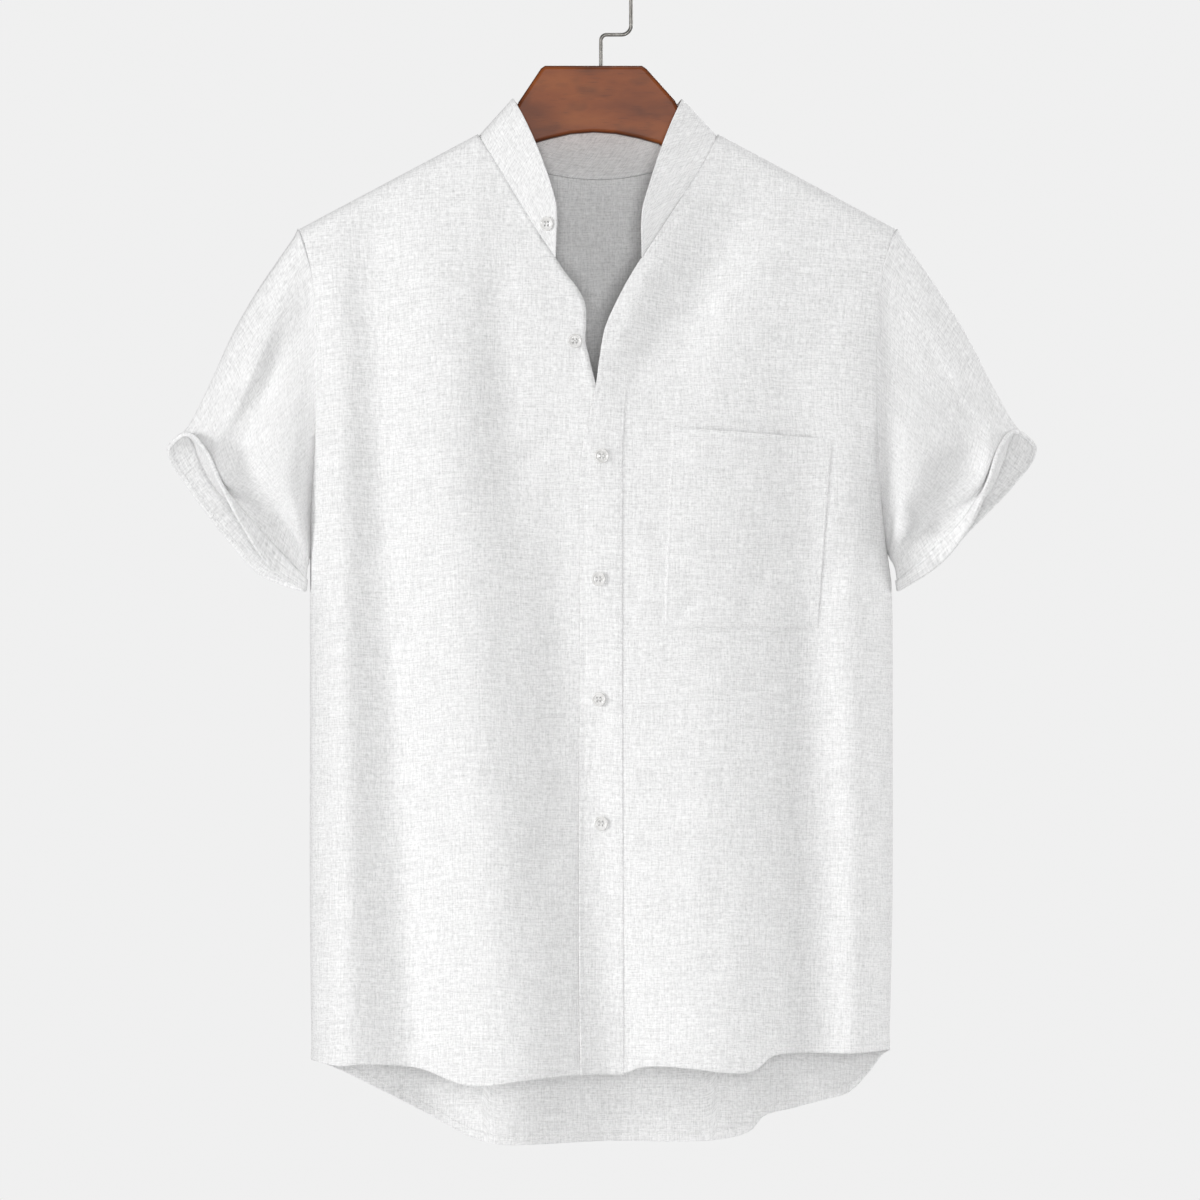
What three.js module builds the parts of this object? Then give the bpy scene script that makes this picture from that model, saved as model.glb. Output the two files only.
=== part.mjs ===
import * as THREE from 'three';

// Mandarin collar shirt on a wooden hanger, at its real size in millimetres, +Z up.
// The origin is the inside top of the hook's bend, where a rod carries it. The front faces -Y,
// so the wearer's right is at -X and the wearer's left at +X.

// Cloth
const WALL = 1.6;
const SEAM_GAP = 0.3;
const SEAM_HALF = SEAM_GAP / 2;

// Depth of the hanging body
const FRONT_DEPTH = 58;
const BACK_DEPTH = 50;
const RIDGE_RADIUS = 11;
const DEPTH_DROP = 230;
const SECTION_POWER = 2.6;
const UNDERLAP = 2.4;
const UNDERLAP_START_X = -60;
const UNDERLAP_RUN = 38;
const FOLD_START_DROP = 60;
const FOLD_SIDE_POWER = 8;

// Levels
const NECK_POINT_Z = -134.5;
const SHOULDER_TIP_Z = -211;
const UNDERARM_Z = -466;
const BAND_END_Z = -235;
const CROSSING_Z = -338;
const SIDE_HEM_Z = -874;
const FRONT_HEM_Z = -886;
const RIGHT_NECK_X = -98.4;
const LEFT_NECK_X = 93.5;

// Grid of the body panels: the share of the panel's length at each row
const NECK_ROWS = 8;
const CHEST_ROWS = 4;
const SKIRT_ROWS = 15;
const BAND_END_SHARE = 0.185;
const UNDERARM_SHARE = (UNDERARM_Z - SHOULDER_TIP_Z) / (SIDE_HEM_Z - SHOULDER_TIP_Z);
const HEM_START_SHARE = 0.55;
const FRONT_COLUMNS = 11;
const NECK_HALF_SHARE = 0.4;

// Placket, pocket and buttons
const PLACKET_TOP_ROW = 6;
const PLACKET_COLUMNS = 3;
const PLACKET_NECK_GAP = 0.8;
const PLACKET_GAP = 0.9;
const PLACKET_WALL = 1.2;
const POCKET_WALL = 1.2;
const POCKET_STAND_OFF = 2.2;
const POCKET_GAP = 0.7;
const POCKET_CELLS = 7;
const BUTTON_RADIUS = 5.8;
const BUTTON_THICKNESS = 2.4;
const BUTTON_RIM = 0.7;
const BUTTON_GAP = 0.8;
const BUTTON_SIDES = 16;

// Collar, sleeves and cuffs
const COLLAR_CELLS = 4;
const SLEEVE_CELLS = 8;
const FREE_EDGE_SHARE = 0.82;
const MID_SHARE = 0.42;
const RIM_SETBACK = 0.012;
const CUFF_CELLS = 4;
const ARMHOLE_GAP = 0.6;
const CUFF_FLARE = 3.5;
const CUFF_GAP = 0.95;

// Hanger
const WOOD_THICKNESS = 14;
const WOOD_BEVEL = 3;
const ARM_DROP = 4.7;
const WIRE_RADIUS = 1.5;
const HOOK_RADIUS = 24;
const HOOK_CENTRE_Z = WIRE_RADIUS - HOOK_RADIUS;
const HOOK_TIP_LENGTH = 3.5;
const JOG_Z = -55;
const JOG_BEND = 4;
const HOOK_SIDES = 8;
const HOOK_STEPS = 56;
const WOOD_TOP_Z = -80;

const table = (columns, ...rows) => rows.map(
  (row) => Object.fromEntries(columns.map((name, i) => [name, row[i]])),
);

// Front view outline of the two armholes and sides
const SIDES = table(['z', 'right', 'left'],
  [-211, -242.4, 236.8],
  [-226, -237.5, 231.0],
  [-245, -232.2, 225.4],
  [-269, -228.8, 222.0],
  [-298, -227.2, 220.8],
  [-337, -226.4, 220.0],
  [-380, -228.4, 221.2],
  [-423, -231.0, 223.6],
  [-466, -232.6, 228.6],
  [-497, -232.8, 232.6],
  [-600, -232.8, 233.4],
  [-750, -232.8, 233.2],
  [-880, -231.4, 230.4]);

// How much of the body's depth is left at the armhole seam
const ARMHOLE_DEPTH = table(['z', 'share'],
  [-211, 0.9],
  [-260, 0.64],
  [-337, 0.5],
  [-400, 0.36],
  [-440, 0.18],
  [-466, 0],
  [-480, 0],
  [-900, 0]);

// Neck seams and open front edges, the right one running on below the placket
const RIGHT_FRONT_EDGE = table(['z', 'x'],
  [-134.5, -98.4],
  [-161, -82],
  [-188, -66],
  [-214, -50],
  [-235, -36],
  [-246, -28.8],
  [-258, -19.4],
  [-270, -13],
  [-285, -11.6],
  [-301, -12.4],
  [-313, -9.8],
  [-325, -7],
  [-338, -3.2],
  [-360, 7],
  [-390, 14],
  [-890, 14]);
const LEFT_FRONT_EDGE = table(['z', 'x'],
  [-134.5, 93.5],
  [-156, 83],
  [-178, 69.5],
  [-200, 55],
  [-218, 43.5],
  [-235, 32.6],
  [-256, 20],
  [-280, 8],
  [-294, 2.8],
  [-318, -1.2],
  [-338, -4],
  [-382, -13.6],
  [-405, -16],
  [-550, -16.4],
  [-772, -17.4],
  [-890, -16]);

// Back neck seam, by share of the half body width
const BACK_NECK = table(['share', 'z'],
  [-0.4, -134.5],
  [-0.33, -149],
  [-0.24, -160],
  [-0.12, -167.5],
  [0, -170],
  [0.12, -167.5],
  [0.24, -160],
  [0.33, -149],
  [0.4, -134.5]);

// Top edge of the collar over each front, from the neck point to the front end
const COLLAR_TOP = table(['share', 'rightX', 'rightZ', 'leftX', 'leftZ', 'lean'],
  [0, -72, -103, 66.4, -103.5, 0],
  [0.25, -60.5, -124, 56, -126, -1.5],
  [0.5, -49.5, -149, 46.5, -151, -3],
  [0.75, -40.5, -174, 38.5, -176, -4],
  [0.92, -36.2, -190, 34, -192, -4],
  [1, -35.6, -198, 32.8, -200, -4]);

// Top edge of the collar over the back neck, by share of the half body width
const COLLAR_BACK_TOP = table(['share', 'x', 'z', 'lean'],
  [-0.4, -72, -103, 0],
  [-0.36, -67, -110, 1],
  [-0.24, -49, -123, 3],
  [-0.12, -27, -129, 3],
  [0, -2, -131, 3],
  [0.12, 22, -129, 3],
  [0.24, 44, -123, 3],
  [0.36, 61, -110, 1],
  [0.4, 66.4, -103.5, 0]);

// Hems seen from the front
const FRONT_HEM = table(['x', 'z'],
  [-233, -874],
  [-210, -878],
  [-190, -877],
  [-165, -878],
  [-142, -881],
  [-111, -892],
  [-92, -893],
  [-70, -890],
  [-44, -887],
  [-16, -885],
  [18, -884],
  [32, -879],
  [50, -878],
  [76, -880],
  [107, -883],
  [122, -881],
  [136, -870],
  [154, -868],
  [202, -868],
  [233, -866]);
const BACK_HEM = table(['x', 'z'],
  [-233, -874],
  [-206, -886],
  [-175, -902],
  [-137, -922],
  [-105, -939],
  [-82, -945],
  [-50, -945],
  [0, -943],
  [60, -943],
  [94, -941],
  [120, -934],
  [131, -922],
  [154, -916],
  [180, -909],
  [200, -902],
  [215, -886],
  [225, -872],
  [233, -866]);

// Hanging folds. A fold with open 1 runs off the hem, one with open 0 fades at both ends.
const FOLDS = table(['face', 'topX', 'topZ', 'footX', 'footZ', 'halfWidth', 'rise', 'open'],
  ['front', -213, 150, -213, -700, 22, 6, 1],
  ['front', -211, 150, -150, -700, 34, -9, 1],
  ['front', -169, 150, -87, -700, 34, 9, 1],
  ['front', -71, -150, 9, -800, 38, -9, 1],
  ['front', 64, -150, 99, -800, 42, 8, 1],
  ['front', 155, -150, 168, -750, 32, -9, 1],
  ['front', 211, -150, 211, -700, 22, 5, 1],
  ['front', -84, -200, -72, -480, 20, -4, 0],
  ['front', 78, -165, 24, -350, 15, -4, 0],
  ['back', -190, -250, -140, -850, 34, 8, 1],
  ['back', -122, -250, -76, -850, 34, -9, 1],
  ['back', -40, -250, 14, -850, 38, 8, 1],
  ['back', 70, -250, 101, -850, 40, -9, 1],
  ['back', 150, -250, 170, -850, 32, 8, 1]);

// Sleeves, a row for each station round the tube: at 0 is the upper fold, up to 1 the front,
// 1 the underarm, from 1 to 2 the back. The free edge is the cuff's upper edge, the rim its fold.
const SLEEVE_COLUMNS = ['at', 'freeX', 'freeY', 'freeZ', 'rimX', 'rimY', 'rimZ', 'midOut', 'midLift'];
const RIGHT_SLEEVE = table(SLEEVE_COLUMNS,
  [0, -326, 0, -364, -346, 3, -388, -7, 0],
  [0.12, -321, -9, -374, -331, -14, -375, -4, -8],
  [0.28, -313, -11, -394, -316, -30, -388, 0, -4],
  [0.48, -299, -13, -417, -302, -35, -417, 0, -12],
  [0.66, -277, -20, -430, -286, -33, -447, 0, -17],
  [0.84, -253, -20, -445, -264, -21, -480, 0, -12],
  [1, -239.5, -3, -477, -241, -4, -498, 0, -2],
  [1.2, -254, 12, -463, -271, 12, -487, 0, 6],
  [1.5, -279, 17, -440, -297, 17, -460, 0, 14],
  [1.75, -309, 14, -404, -327, 15, -421, -2, 12]);
const LEFT_SLEEVE = table(SLEEVE_COLUMNS,
  [0, 326, 0, -362, 347.5, 3, -387, 6, 0],
  [0.12, 322, -9, -372, 331, -14, -373, 3, -8],
  [0.28, 315, -11, -392, 318, -30, -387, 0, -9],
  [0.48, 303, -13, -418, 308, -35, -416, 0, -10],
  [0.66, 282, -20, -435, 293, -33, -449, 0, -15],
  [0.84, 257, -20, -452, 270, -21, -478, 0, -16],
  [1, 239.5, -3, -478, 241.5, -4, -498, 0, -2],
  [1.2, 255, 12, -460, 271, 12, -476, 0, 6],
  [1.5, 281, 17, -434, 298, 17, -448, 0, 14],
  [1.75, 311, 14, -402, 329, 15, -416, 2, 12]);

const PLACKET_BORDER = table(['z', 'x'],
  [-178, 77],
  [-205, 68],
  [-235, 57],
  [-265, 45.5],
  [-300, 33],
  [-328, 23.5],
  [-350, 19.6],
  [-405, 17.4],
  [-890, 18.4]);

const POCKET_CORNERS = {
  topInner: [56.8, -369.6],
  topOuter: [184, -379],
  footInner: [50.4, -529.6],
  footOuter: [173, -529.6],
};

const BUTTONS = table(['name', 'carrier', 'x', 'z'],
  ['button_collar', 'collar', -42.5, -208],
  ['button_chest', 'right', -20.6, -301.6],
  ['button_1', 'placket', 0.8, -392.8],
  ['button_2', 'placket', -1.4, -490.4],
  ['button_3', 'placket', -0.8, -586],
  ['button_4', 'placket', 0.8, -684.8]);

// Wooden hanger: half outlines from the middle outwards, upper edge and lower edge
const WOOD_UPPER = table(['x', 'z'],
  [-44.8, -80],
  [-48, -82.2],
  [-66, -109.2],
  [-71, -121],
  [-80, -138],
  [-94, -147]);
const WOOD_UPPER_LEFT = table(['x', 'z'],
  [32.8, -80],
  [36.2, -82.2],
  [59.2, -107.8],
  [65, -120],
  [75, -138],
  [89, -147]);
const WOOD_LOWER = table(['x', 'z'],
  [-206, -226],
  [-128, -186],
  [-80, -160],
  [-52.2, -141.6],
  [-39, -138],
  [-24, -134.6],
  [-6, -133.2],
  [12, -134.4],
  [29.6, -138],
  [46, -142.4],
  [75, -160],
  [124, -185],
  [202, -225]);
const ARM_START = 112;
const ARM_END = 224;
const ARM_STEPS = 5;
const TIP_RADIUS = 9;
const TIP_ANGLES = [0.5, 1, 1.6, 2.3];

const SHIRT_WHITE = new THREE.Color(0.93, 0.93, 0.92);
const INSIDE_WHITE = new THREE.Color(0.9, 0.9, 0.89);
const cloth = () => new THREE.MeshStandardMaterial({ color: SHIRT_WHITE, roughness: 0.9 });
const clothInside = () => new THREE.MeshStandardMaterial({ color: INSIDE_WHITE, roughness: 0.9 });
const buttonResin = () => new THREE.MeshStandardMaterial({ color: 0xf4f3ef, roughness: 0.35 });
const brownWood = () => new THREE.MeshStandardMaterial({ color: 0x7a3e1c, roughness: 0.4 });
const darkWire = () => new THREE.MeshStandardMaterial({ color: 0x6b645c, roughness: 0.35, metalness: 1 });

const lerp = (a, b, t) => a + (b - a) * t;
const clamp01 = (t) => Math.min(1, Math.max(0, t));
const smooth = (t) => clamp01(t) ** 2 * (3 - 2 * clamp01(t));
const vec = (x, y, z) => new THREE.Vector3(x, y, z);
const range = (count) => Array.from({ length: count }, (_, i) => i);

// A smooth curve through two columns of a table
function through(rows, inColumn, outColumn) {
  const sorted = [...rows].sort((a, b) => a[inColumn] - b[inColumn]);
  const at = sorted.map((row) => row[inColumn]);
  const value = sorted.map((row) => row[outColumn]);
  const last = at.length - 1;
  const slope = at.map((_, i) => {
    const before = Math.max(0, i - 1);
    const after = Math.min(last, i + 1);
    return (value[after] - value[before]) / (at[after] - at[before]);
  });
  return (x) => {
    if (x <= at[0]) return value[0];
    if (x >= at[last]) return value[last];
    const i = at.findIndex((a) => a >= x) - 1;
    const span = at[i + 1] - at[i];
    const t = (x - at[i]) / span;
    const rise = value[i + 1] - value[i];
    const near = slope[i] * span;
    const far = slope[i + 1] * span;
    return value[i] + t * (near + t * (3 * rise - 2 * near - far + t * (near + far - 2 * rise)));
  };
}

// The same round a closed ring whose stations run from 0 to 2
function roundRing(rows, column) {
  const shifted = (turn) => rows.map((row) => ({ at: row.at + turn, value: row[column] }));
  return through([...shifted(-2), ...shifted(0), ...shifted(2)], 'at', 'value');
}

const rightSide = through(SIDES, 'z', 'right');
const leftSide = through(SIDES, 'z', 'left');
const armholeShare = through(ARMHOLE_DEPTH, 'z', 'share');
const rightEdge = through(RIGHT_FRONT_EDGE, 'z', 'x');
const leftEdge = through(LEFT_FRONT_EDGE, 'z', 'x');
const backNeck = through(BACK_NECK, 'share', 'z');
const frontHem = through(FRONT_HEM, 'x', 'z');
const backHem = through(BACK_HEM, 'x', 'z');
const placketBorder = through(PLACKET_BORDER, 'z', 'x');

// Height of the shoulder ridge above a point
function shoulderZ(x) {
  const [neck, tip] = x < 0 ? [RIGHT_NECK_X, SIDES[0].right] : [LEFT_NECK_X, SIDES[0].left];
  return lerp(NECK_POINT_Z, SHOULDER_TIP_Z, clamp01((x - neck) / (tip - neck)));
}

// -1 at the wearer's right side, 1 at the left side
function widthShare(x, z) {
  const right = rightSide(z);
  const left = leftSide(z);
  const share = (2 * x - right - left) / (left - right);
  return Math.min(1, Math.max(-1, share));
}

function foldRise(face, x, z) {
  return FOLDS.filter((fold) => fold.face === face).reduce((sum, fold) => {
    const along = (fold.topZ - z) / (fold.topZ - fold.footZ);
    if (along <= 0 || (!fold.open && along >= 1)) return sum;
    const across = (x - lerp(fold.topX, fold.footX, along)) / fold.halfWidth;
    const strength = fold.open ? smooth(along) : Math.sin(Math.PI * along);
    return sum + fold.rise * strength * Math.exp(-across * across);
  }, 0);
}

// Distance of the cloth's outer face from the middle plane
function bodyDepth(face, x, z) {
  const below = Math.max(0, shoulderZ(x) - z);
  const full = face === 'front' ? FRONT_DEPTH : BACK_DEPTH;
  const ridge = RIDGE_RADIUS * Math.sqrt(1 - (1 - Math.min(1, below / RIDGE_RADIUS)) ** 2);
  const drape = (full - RIDGE_RADIUS) * (1 - (1 - Math.min(1, below / DEPTH_DROP)) ** 2);
  const share = Math.abs(widthShare(x, z));
  const edge = z < UNDERARM_Z ? 0 : Math.max(0, armholeShare(z));
  const section = edge + (1 - edge) * (1 - share ** SECTION_POWER) ** (1 / SECTION_POWER);
  const calm = (1 - share ** FOLD_SIDE_POWER) * Math.min(1, below / FOLD_START_DROP);
  return SEAM_HALF + (ridge + drape) * section + foldRise(face, x, z) * calm;
}

const frontY = (x, z) => -bodyDepth('front', x, z);
const backY = (x, z) => bodyDepth('back', x, z);

// The right front dips under the left one where they overlap
const rightFrontY = (x, z) => (
  frontY(x, z) + UNDERLAP * smooth((x - UNDERLAP_START_X) / UNDERLAP_RUN)
);

const ROW_SHARES = [
  ...range(NECK_ROWS).map((i) => BAND_END_SHARE * (i / NECK_ROWS) ** 2),
  ...range(CHEST_ROWS).map((i) => lerp(BAND_END_SHARE, UNDERARM_SHARE, i / CHEST_ROWS)),
  ...range(SKIRT_ROWS + 1).map((i) => lerp(UNDERARM_SHARE, 1, i / SKIRT_ROWS)),
];
const UNDERARM_ROW = NECK_ROWS + CHEST_ROWS;

// Height of a front's inner edge at a row
function innerEdgeZ(share) {
  if (share <= BAND_END_SHARE) return lerp(NECK_POINT_Z, BAND_END_Z, share / BAND_END_SHARE);
  if (share <= UNDERARM_SHARE) {
    const t = (share - BAND_END_SHARE) / (UNDERARM_SHARE - BAND_END_SHARE);
    return lerp(BAND_END_Z, CROSSING_Z, t);
  }
  return lerp(CROSSING_Z, FRONT_HEM_Z, (share - UNDERARM_SHARE) / (1 - UNDERARM_SHARE));
}

// Unit normals of a grid of points, by differences along its rows and columns
function gridNormals(grid, ring) {
  const rows = grid.length;
  const columns = grid[0].length;
  const pick = (c) => (ring ? (c + columns) % columns : Math.min(columns - 1, Math.max(0, c)));
  return grid.map((row, r) => row.map((_, c) => {
    const down = grid[Math.min(rows - 1, r + 1)][c].clone().sub(grid[Math.max(0, r - 1)][c]);
    const across = row[pick(c + 1)].clone().sub(row[pick(c - 1)]);
    return across.cross(down).normalize();
  }));
}

const offsetGrid = (grid, normals, distance) => grid.map((row, r) => row.map(
  (point, c) => point.clone().addScaledVector(
    normals[r][c],
    typeof distance === 'function' ? distance(r, c) : distance,
  ),
));

// A closed wall between an outer and an inner grid of points
function wallGeometry(outer, inner, ring = false) {
  const rows = outer.length;
  const columns = outer[0].length;
  const across = ring ? columns : columns - 1;
  const out = (r, c) => r * columns + (c % columns);
  const inn = (r, c) => rows * columns + out(r, c);
  const faces = [];
  const quad = (a, b, c, d) => faces.push(a, b, c, a, c, d);
  for (let r = 0; r < rows - 1; r += 1) {
    for (let c = 0; c < across; c += 1) {
      quad(out(r, c), out(r, c + 1), out(r + 1, c + 1), out(r + 1, c));
      quad(inn(r, c), inn(r + 1, c), inn(r + 1, c + 1), inn(r, c + 1));
    }
  }
  for (let c = 0; c < across; c += 1) {
    quad(out(0, c), inn(0, c), inn(0, c + 1), out(0, c + 1));
    quad(out(rows - 1, c), out(rows - 1, c + 1), inn(rows - 1, c + 1), inn(rows - 1, c));
  }
  if (!ring) {
    for (let r = 0; r < rows - 1; r += 1) {
      quad(out(r, 0), out(r + 1, 0), inn(r + 1, 0), inn(r, 0));
      quad(out(r, across), inn(r, across), inn(r + 1, across), out(r + 1, across));
    }
  }
  return facingOut([...outer.flat(), ...inner.flat()], faces);
}

function facingOut(points, faces) {
  let volume = 0;
  for (let i = 0; i < faces.length; i += 3) {
    const [a, b, c] = [points[faces[i]], points[faces[i + 1]], points[faces[i + 2]]];
    volume += a.dot(b.clone().cross(c));
  }
  const index = volume > 0 ? faces : [...faces].reverse();
  const geometry = new THREE.BufferGeometry().setFromPoints(points);
  geometry.setIndex(index);
  geometry.computeVertexNormals();
  return geometry;
}

// How far a row has come towards the shaped hem
const hemShare = (share) => smooth((share - HEM_START_SHARE) / (1 - HEM_START_SHARE));

// One front panel: outer and inner grids, columns from the side to the inner edge
function frontPanel(side, edge, depthY, sign) {
  const outer = ROW_SHARES.map((share) => {
    const sideZ = lerp(SHOULDER_TIP_Z, SIDE_HEM_Z, share);
    const innerZ = innerEdgeZ(share);
    return range(FRONT_COLUMNS + 1).map((c) => {
      const t = 1 - Math.cos((Math.PI / 2) * (c / FRONT_COLUMNS));
      const plainX = lerp(side(sideZ), edge(innerZ), t);
      const hemPull = frontHem(plainX) - lerp(SIDE_HEM_Z, FRONT_HEM_Z, t);
      const z = lerp(sideZ, innerZ, t) + hemPull * hemShare(share);
      const x = c === 0 ? side(z) : plainX;
      return vec(x, depthY(x, z), z);
    });
  });
  const normals = gridNormals(outer, false);
  const facing = normals[SKIRT_ROWS][FRONT_COLUMNS - 2].y < 0 ? 1 : -1;
  const inner = offsetGrid(outer, normals, -WALL * facing);
  flattenSeams(outer, inner, sign);
  return { outer, inner };
}

// Along the shoulder and the side seam the wall's end face lies square to the seam
function flattenSeams(outer, inner, sign) {
  outer[0].forEach((point, c) => inner[0][c].set(point.x, point.y, point.z - WALL));
  for (let r = UNDERARM_ROW; r < outer.length; r += 1) {
    const point = outer[r][0];
    inner[r][0].set(point.x - sign * WALL, point.y, point.z);
  }
}

// Columns of the back by share of the half width, closer together at the sides
const BACK_SHARES = (() => {
  const sideShares = [1, 0.992, 0.972, 0.935, 0.88, 0.79, 0.67, 0.53, NECK_HALF_SHARE];
  const neckShares = [0.385, 0.33, 0.24, 0.12];
  const half = [...sideShares, ...neckShares];
  return [...half.map((share) => -share), 0, ...half.reverse()];
})();

function backPanel() {
  const outer = ROW_SHARES.map((rowShare) => BACK_SHARES.map((share) => {
    const inNeck = Math.abs(share) <= NECK_HALF_SHARE;
    const topX = xAt(share, SHOULDER_TIP_Z);
    const topZ = inNeck ? backNeck(share) : shoulderZ(topX);
    const hemPull = backHem(xAt(share, SIDE_HEM_Z)) - SIDE_HEM_Z;
    const z = lerp(topZ, SIDE_HEM_Z, rowShare) + hemPull * hemShare(rowShare);
    const x = xAt(share, z);
    return vec(x, backY(x, z), z);
  }));
  const normals = gridNormals(outer, false);
  const facing = normals[SKIRT_ROWS][5].y > 0 ? 1 : -1;
  const inner = offsetGrid(outer, normals, -WALL * facing);
  squareBackSeams(outer, inner);
  return { outer, inner };
}

const xAt = (share, z) => lerp(rightSide(z), leftSide(z), (share + 1) / 2);

function squareBackSeams(outer, inner) {
  const last = BACK_SHARES.length - 1;
  BACK_SHARES.forEach((share, c) => {
    if (Math.abs(share) < NECK_HALF_SHARE) return;
    const point = outer[0][c];
    inner[0][c].set(point.x, point.y, point.z - WALL);
  });
  for (let r = UNDERARM_ROW; r < outer.length; r += 1) {
    const right = outer[r][0];
    const left = outer[r][last];
    inner[r][0].set(right.x + WALL, right.y, right.z);
    inner[r][last].set(left.x - WALL, left.y, left.z);
  }
}

// The collar stands on the neck seam: right front, back neck, left front
function collarBand(right, left, back) {
  const columns = [];
  const frontColumn = (panel, row, xName, zName) => {
    const share = ROW_SHARES[row] / BAND_END_SHARE;
    const seam = panel.outer[row][FRONT_COLUMNS];
    const top = vec(
      through(COLLAR_TOP, 'share', xName)(share),
      seam.y + through(COLLAR_TOP, 'share', 'lean')(share),
      through(COLLAR_TOP, 'share', zName)(share),
    );
    return { seam, top };
  };
  for (let row = NECK_ROWS; row >= 1; row -= 1) {
    columns.push(frontColumn(right, row, 'rightX', 'rightZ'));
  }
  BACK_SHARES.forEach((share, c) => {
    if (Math.abs(share) > NECK_HALF_SHARE) return;
    const seam = back.outer[0][c];
    const top = vec(
      through(COLLAR_BACK_TOP, 'share', 'x')(share),
      seam.y + through(COLLAR_BACK_TOP, 'share', 'lean')(share),
      through(COLLAR_BACK_TOP, 'share', 'z')(share),
    );
    columns.push({ seam, top });
  });
  for (let row = 1; row <= NECK_ROWS; row += 1) {
    columns.push(frontColumn(left, row, 'leftX', 'leftZ'));
  }
  const outer = range(COLLAR_CELLS + 1).map((r) => columns.map(({ seam, top }) => {
    const rule = top.clone().sub(seam);
    const start = (2 * SEAM_GAP) / rule.length();
    return seam.clone().addScaledVector(rule, lerp(start, 1, r / COLLAR_CELLS));
  }));
  const normals = gridNormals(outer, false);
  const middle = Math.floor(columns.length / 2);
  const facing = normals[1][middle].y > 0 ? 1 : -1;
  return { outer, inner: offsetGrid(outer, normals, -WALL * facing) };
}

// A sleeve is a tube from the armhole seam through the cuff's free edge to its rim
function sleeveTube(front, back, backColumn, rows, sign) {
  const beside = (panel, layer, r, column, inward) => {
    const point = panel[layer][r][column];
    const away = panel.outer[r][column].clone().sub(panel.outer[r][column + inward]).normalize();
    const step = r < UNDERARM_ROW ? away : vec(sign, 0, 0);
    return point.clone().addScaledVector(step, ARMHOLE_GAP);
  };
  const ringFrom = (layer) => [
    ...range(UNDERARM_ROW + 1).map((r) => beside(front, layer, r, 0, 1)),
    ...range(UNDERARM_ROW + 1).map((r) => beside(back, layer, UNDERARM_ROW - r, backColumn, -sign)),
  ];
  const shares = range(UNDERARM_ROW + 1).map((r) => ROW_SHARES[r] / UNDERARM_SHARE);
  const stations = [...shares, ...shares.map((share) => 2 - share).reverse()];
  const armhole = ringFrom('outer');
  const along = (names) => names.map((name) => roundRing(rows, name));
  const free = along(['freeX', 'freeY', 'freeZ']);
  const rim = along(['rimX', 'rimY', 'rimZ']);
  const [midOut, midLift] = along(['midOut', 'midLift']);
  const paths = stations.map((at, i) => {
    const freePoint = vec(...free.map((axis) => axis(at)));
    const rimPoint = vec(...rim.map((axis) => axis(at)));
    const mid = armhole[i].clone().lerp(freePoint, 0.5).add(vec(midOut(at), midLift(at), 0));
    return railThrough([armhole[i], mid, freePoint, rimPoint]);
  });
  const upperShares = range(SLEEVE_CELLS).map((r) => FREE_EDGE_SHARE * (r / SLEEVE_CELLS));
  const shareRows = [...upperShares, ...CUFF_SHARES];
  shareRows[shareRows.length - 1] -= RIM_SETBACK;
  const outer = shareRows.map((share) => paths.map((path) => path(share)));
  const normals = gridNormals(outer, true);
  const facing = normals[2][0].x * sign > 0 ? 1 : -1;
  const inner = offsetGrid(outer, normals, -WALL * facing);
  inner[0] = ringFrom('inner');
  [UNDERARM_ROW, UNDERARM_ROW + 1].forEach((c) => {
    inner[0][c].copy(outer[0][c]).add(vec(0, 0, WALL));
  });
  return { outer, inner, paths, facing };
}

const CUFF_SHARES = range(CUFF_CELLS + 1).map((r) => lerp(FREE_EDGE_SHARE, 1, r / CUFF_CELLS));

// A smooth rail through the four sections of a sleeve
function railThrough(points) {
  const shares = [0, MID_SHARE, FREE_EDGE_SHARE, 1];
  const rows = points.map((point, i) => ({ at: shares[i], x: point.x, y: point.y, z: point.z }));
  const [x, y, z] = ['x', 'y', 'z'].map((axis) => through(rows, 'at', axis));
  return (share) => vec(x(share), y(share), z(share));
}

// The turned-up cuff follows the sleeve's end from outside and stands off at its free edge
function turnedCuff(sleeve) {
  const base = CUFF_SHARES.map((share) => sleeve.paths.map((path) => path(share)));
  const normals = gridNormals(base, true);
  const standOff = (r) => CUFF_GAP + CUFF_FLARE * (1 - r / CUFF_CELLS) ** 2;
  const inner = offsetGrid(base, normals, (r) => sleeve.facing * standOff(r));
  const outer = offsetGrid(base, normals, (r) => sleeve.facing * (standOff(r) + WALL));
  return { outer, inner };
}

// A layer over a grid of points that lie on a panel
function layerOn(base, gap, wall) {
  const normals = gridNormals(base, false);
  const facing = normals[0][0].y < 0 ? 1 : -1;
  return {
    outer: offsetGrid(base, normals, facing * (gap + wall)),
    inner: offsetGrid(base, normals, facing * gap),
  };
}

// The point of one row of a panel at a given x
function alongRow(row, x) {
  const after = row.findIndex((point, c) => c > 0 && (point.x - x) * (row[c - 1].x - x) <= 0);
  const [from, to] = [row[after - 1], row[after]];
  return from.clone().lerp(to, (x - from.x) / (to.x - from.x));
}

function placketStrip(panel) {
  const rows = panel.outer.slice(PLACKET_TOP_ROW).map((row, r) => {
    const edge = row[FRONT_COLUMNS];
    const start = edge.x + (r + PLACKET_TOP_ROW <= NECK_ROWS ? PLACKET_NECK_GAP : 0);
    const nearEnd = alongRow(row, placketBorder(edge.z));
    const end = placketBorder(nearEnd.z);
    return range(PLACKET_COLUMNS + 1).map(
      (c) => alongRow(row, lerp(start, end, c / PLACKET_COLUMNS)),
    );
  });
  return layerOn(rows, PLACKET_GAP, PLACKET_WALL);
}

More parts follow.
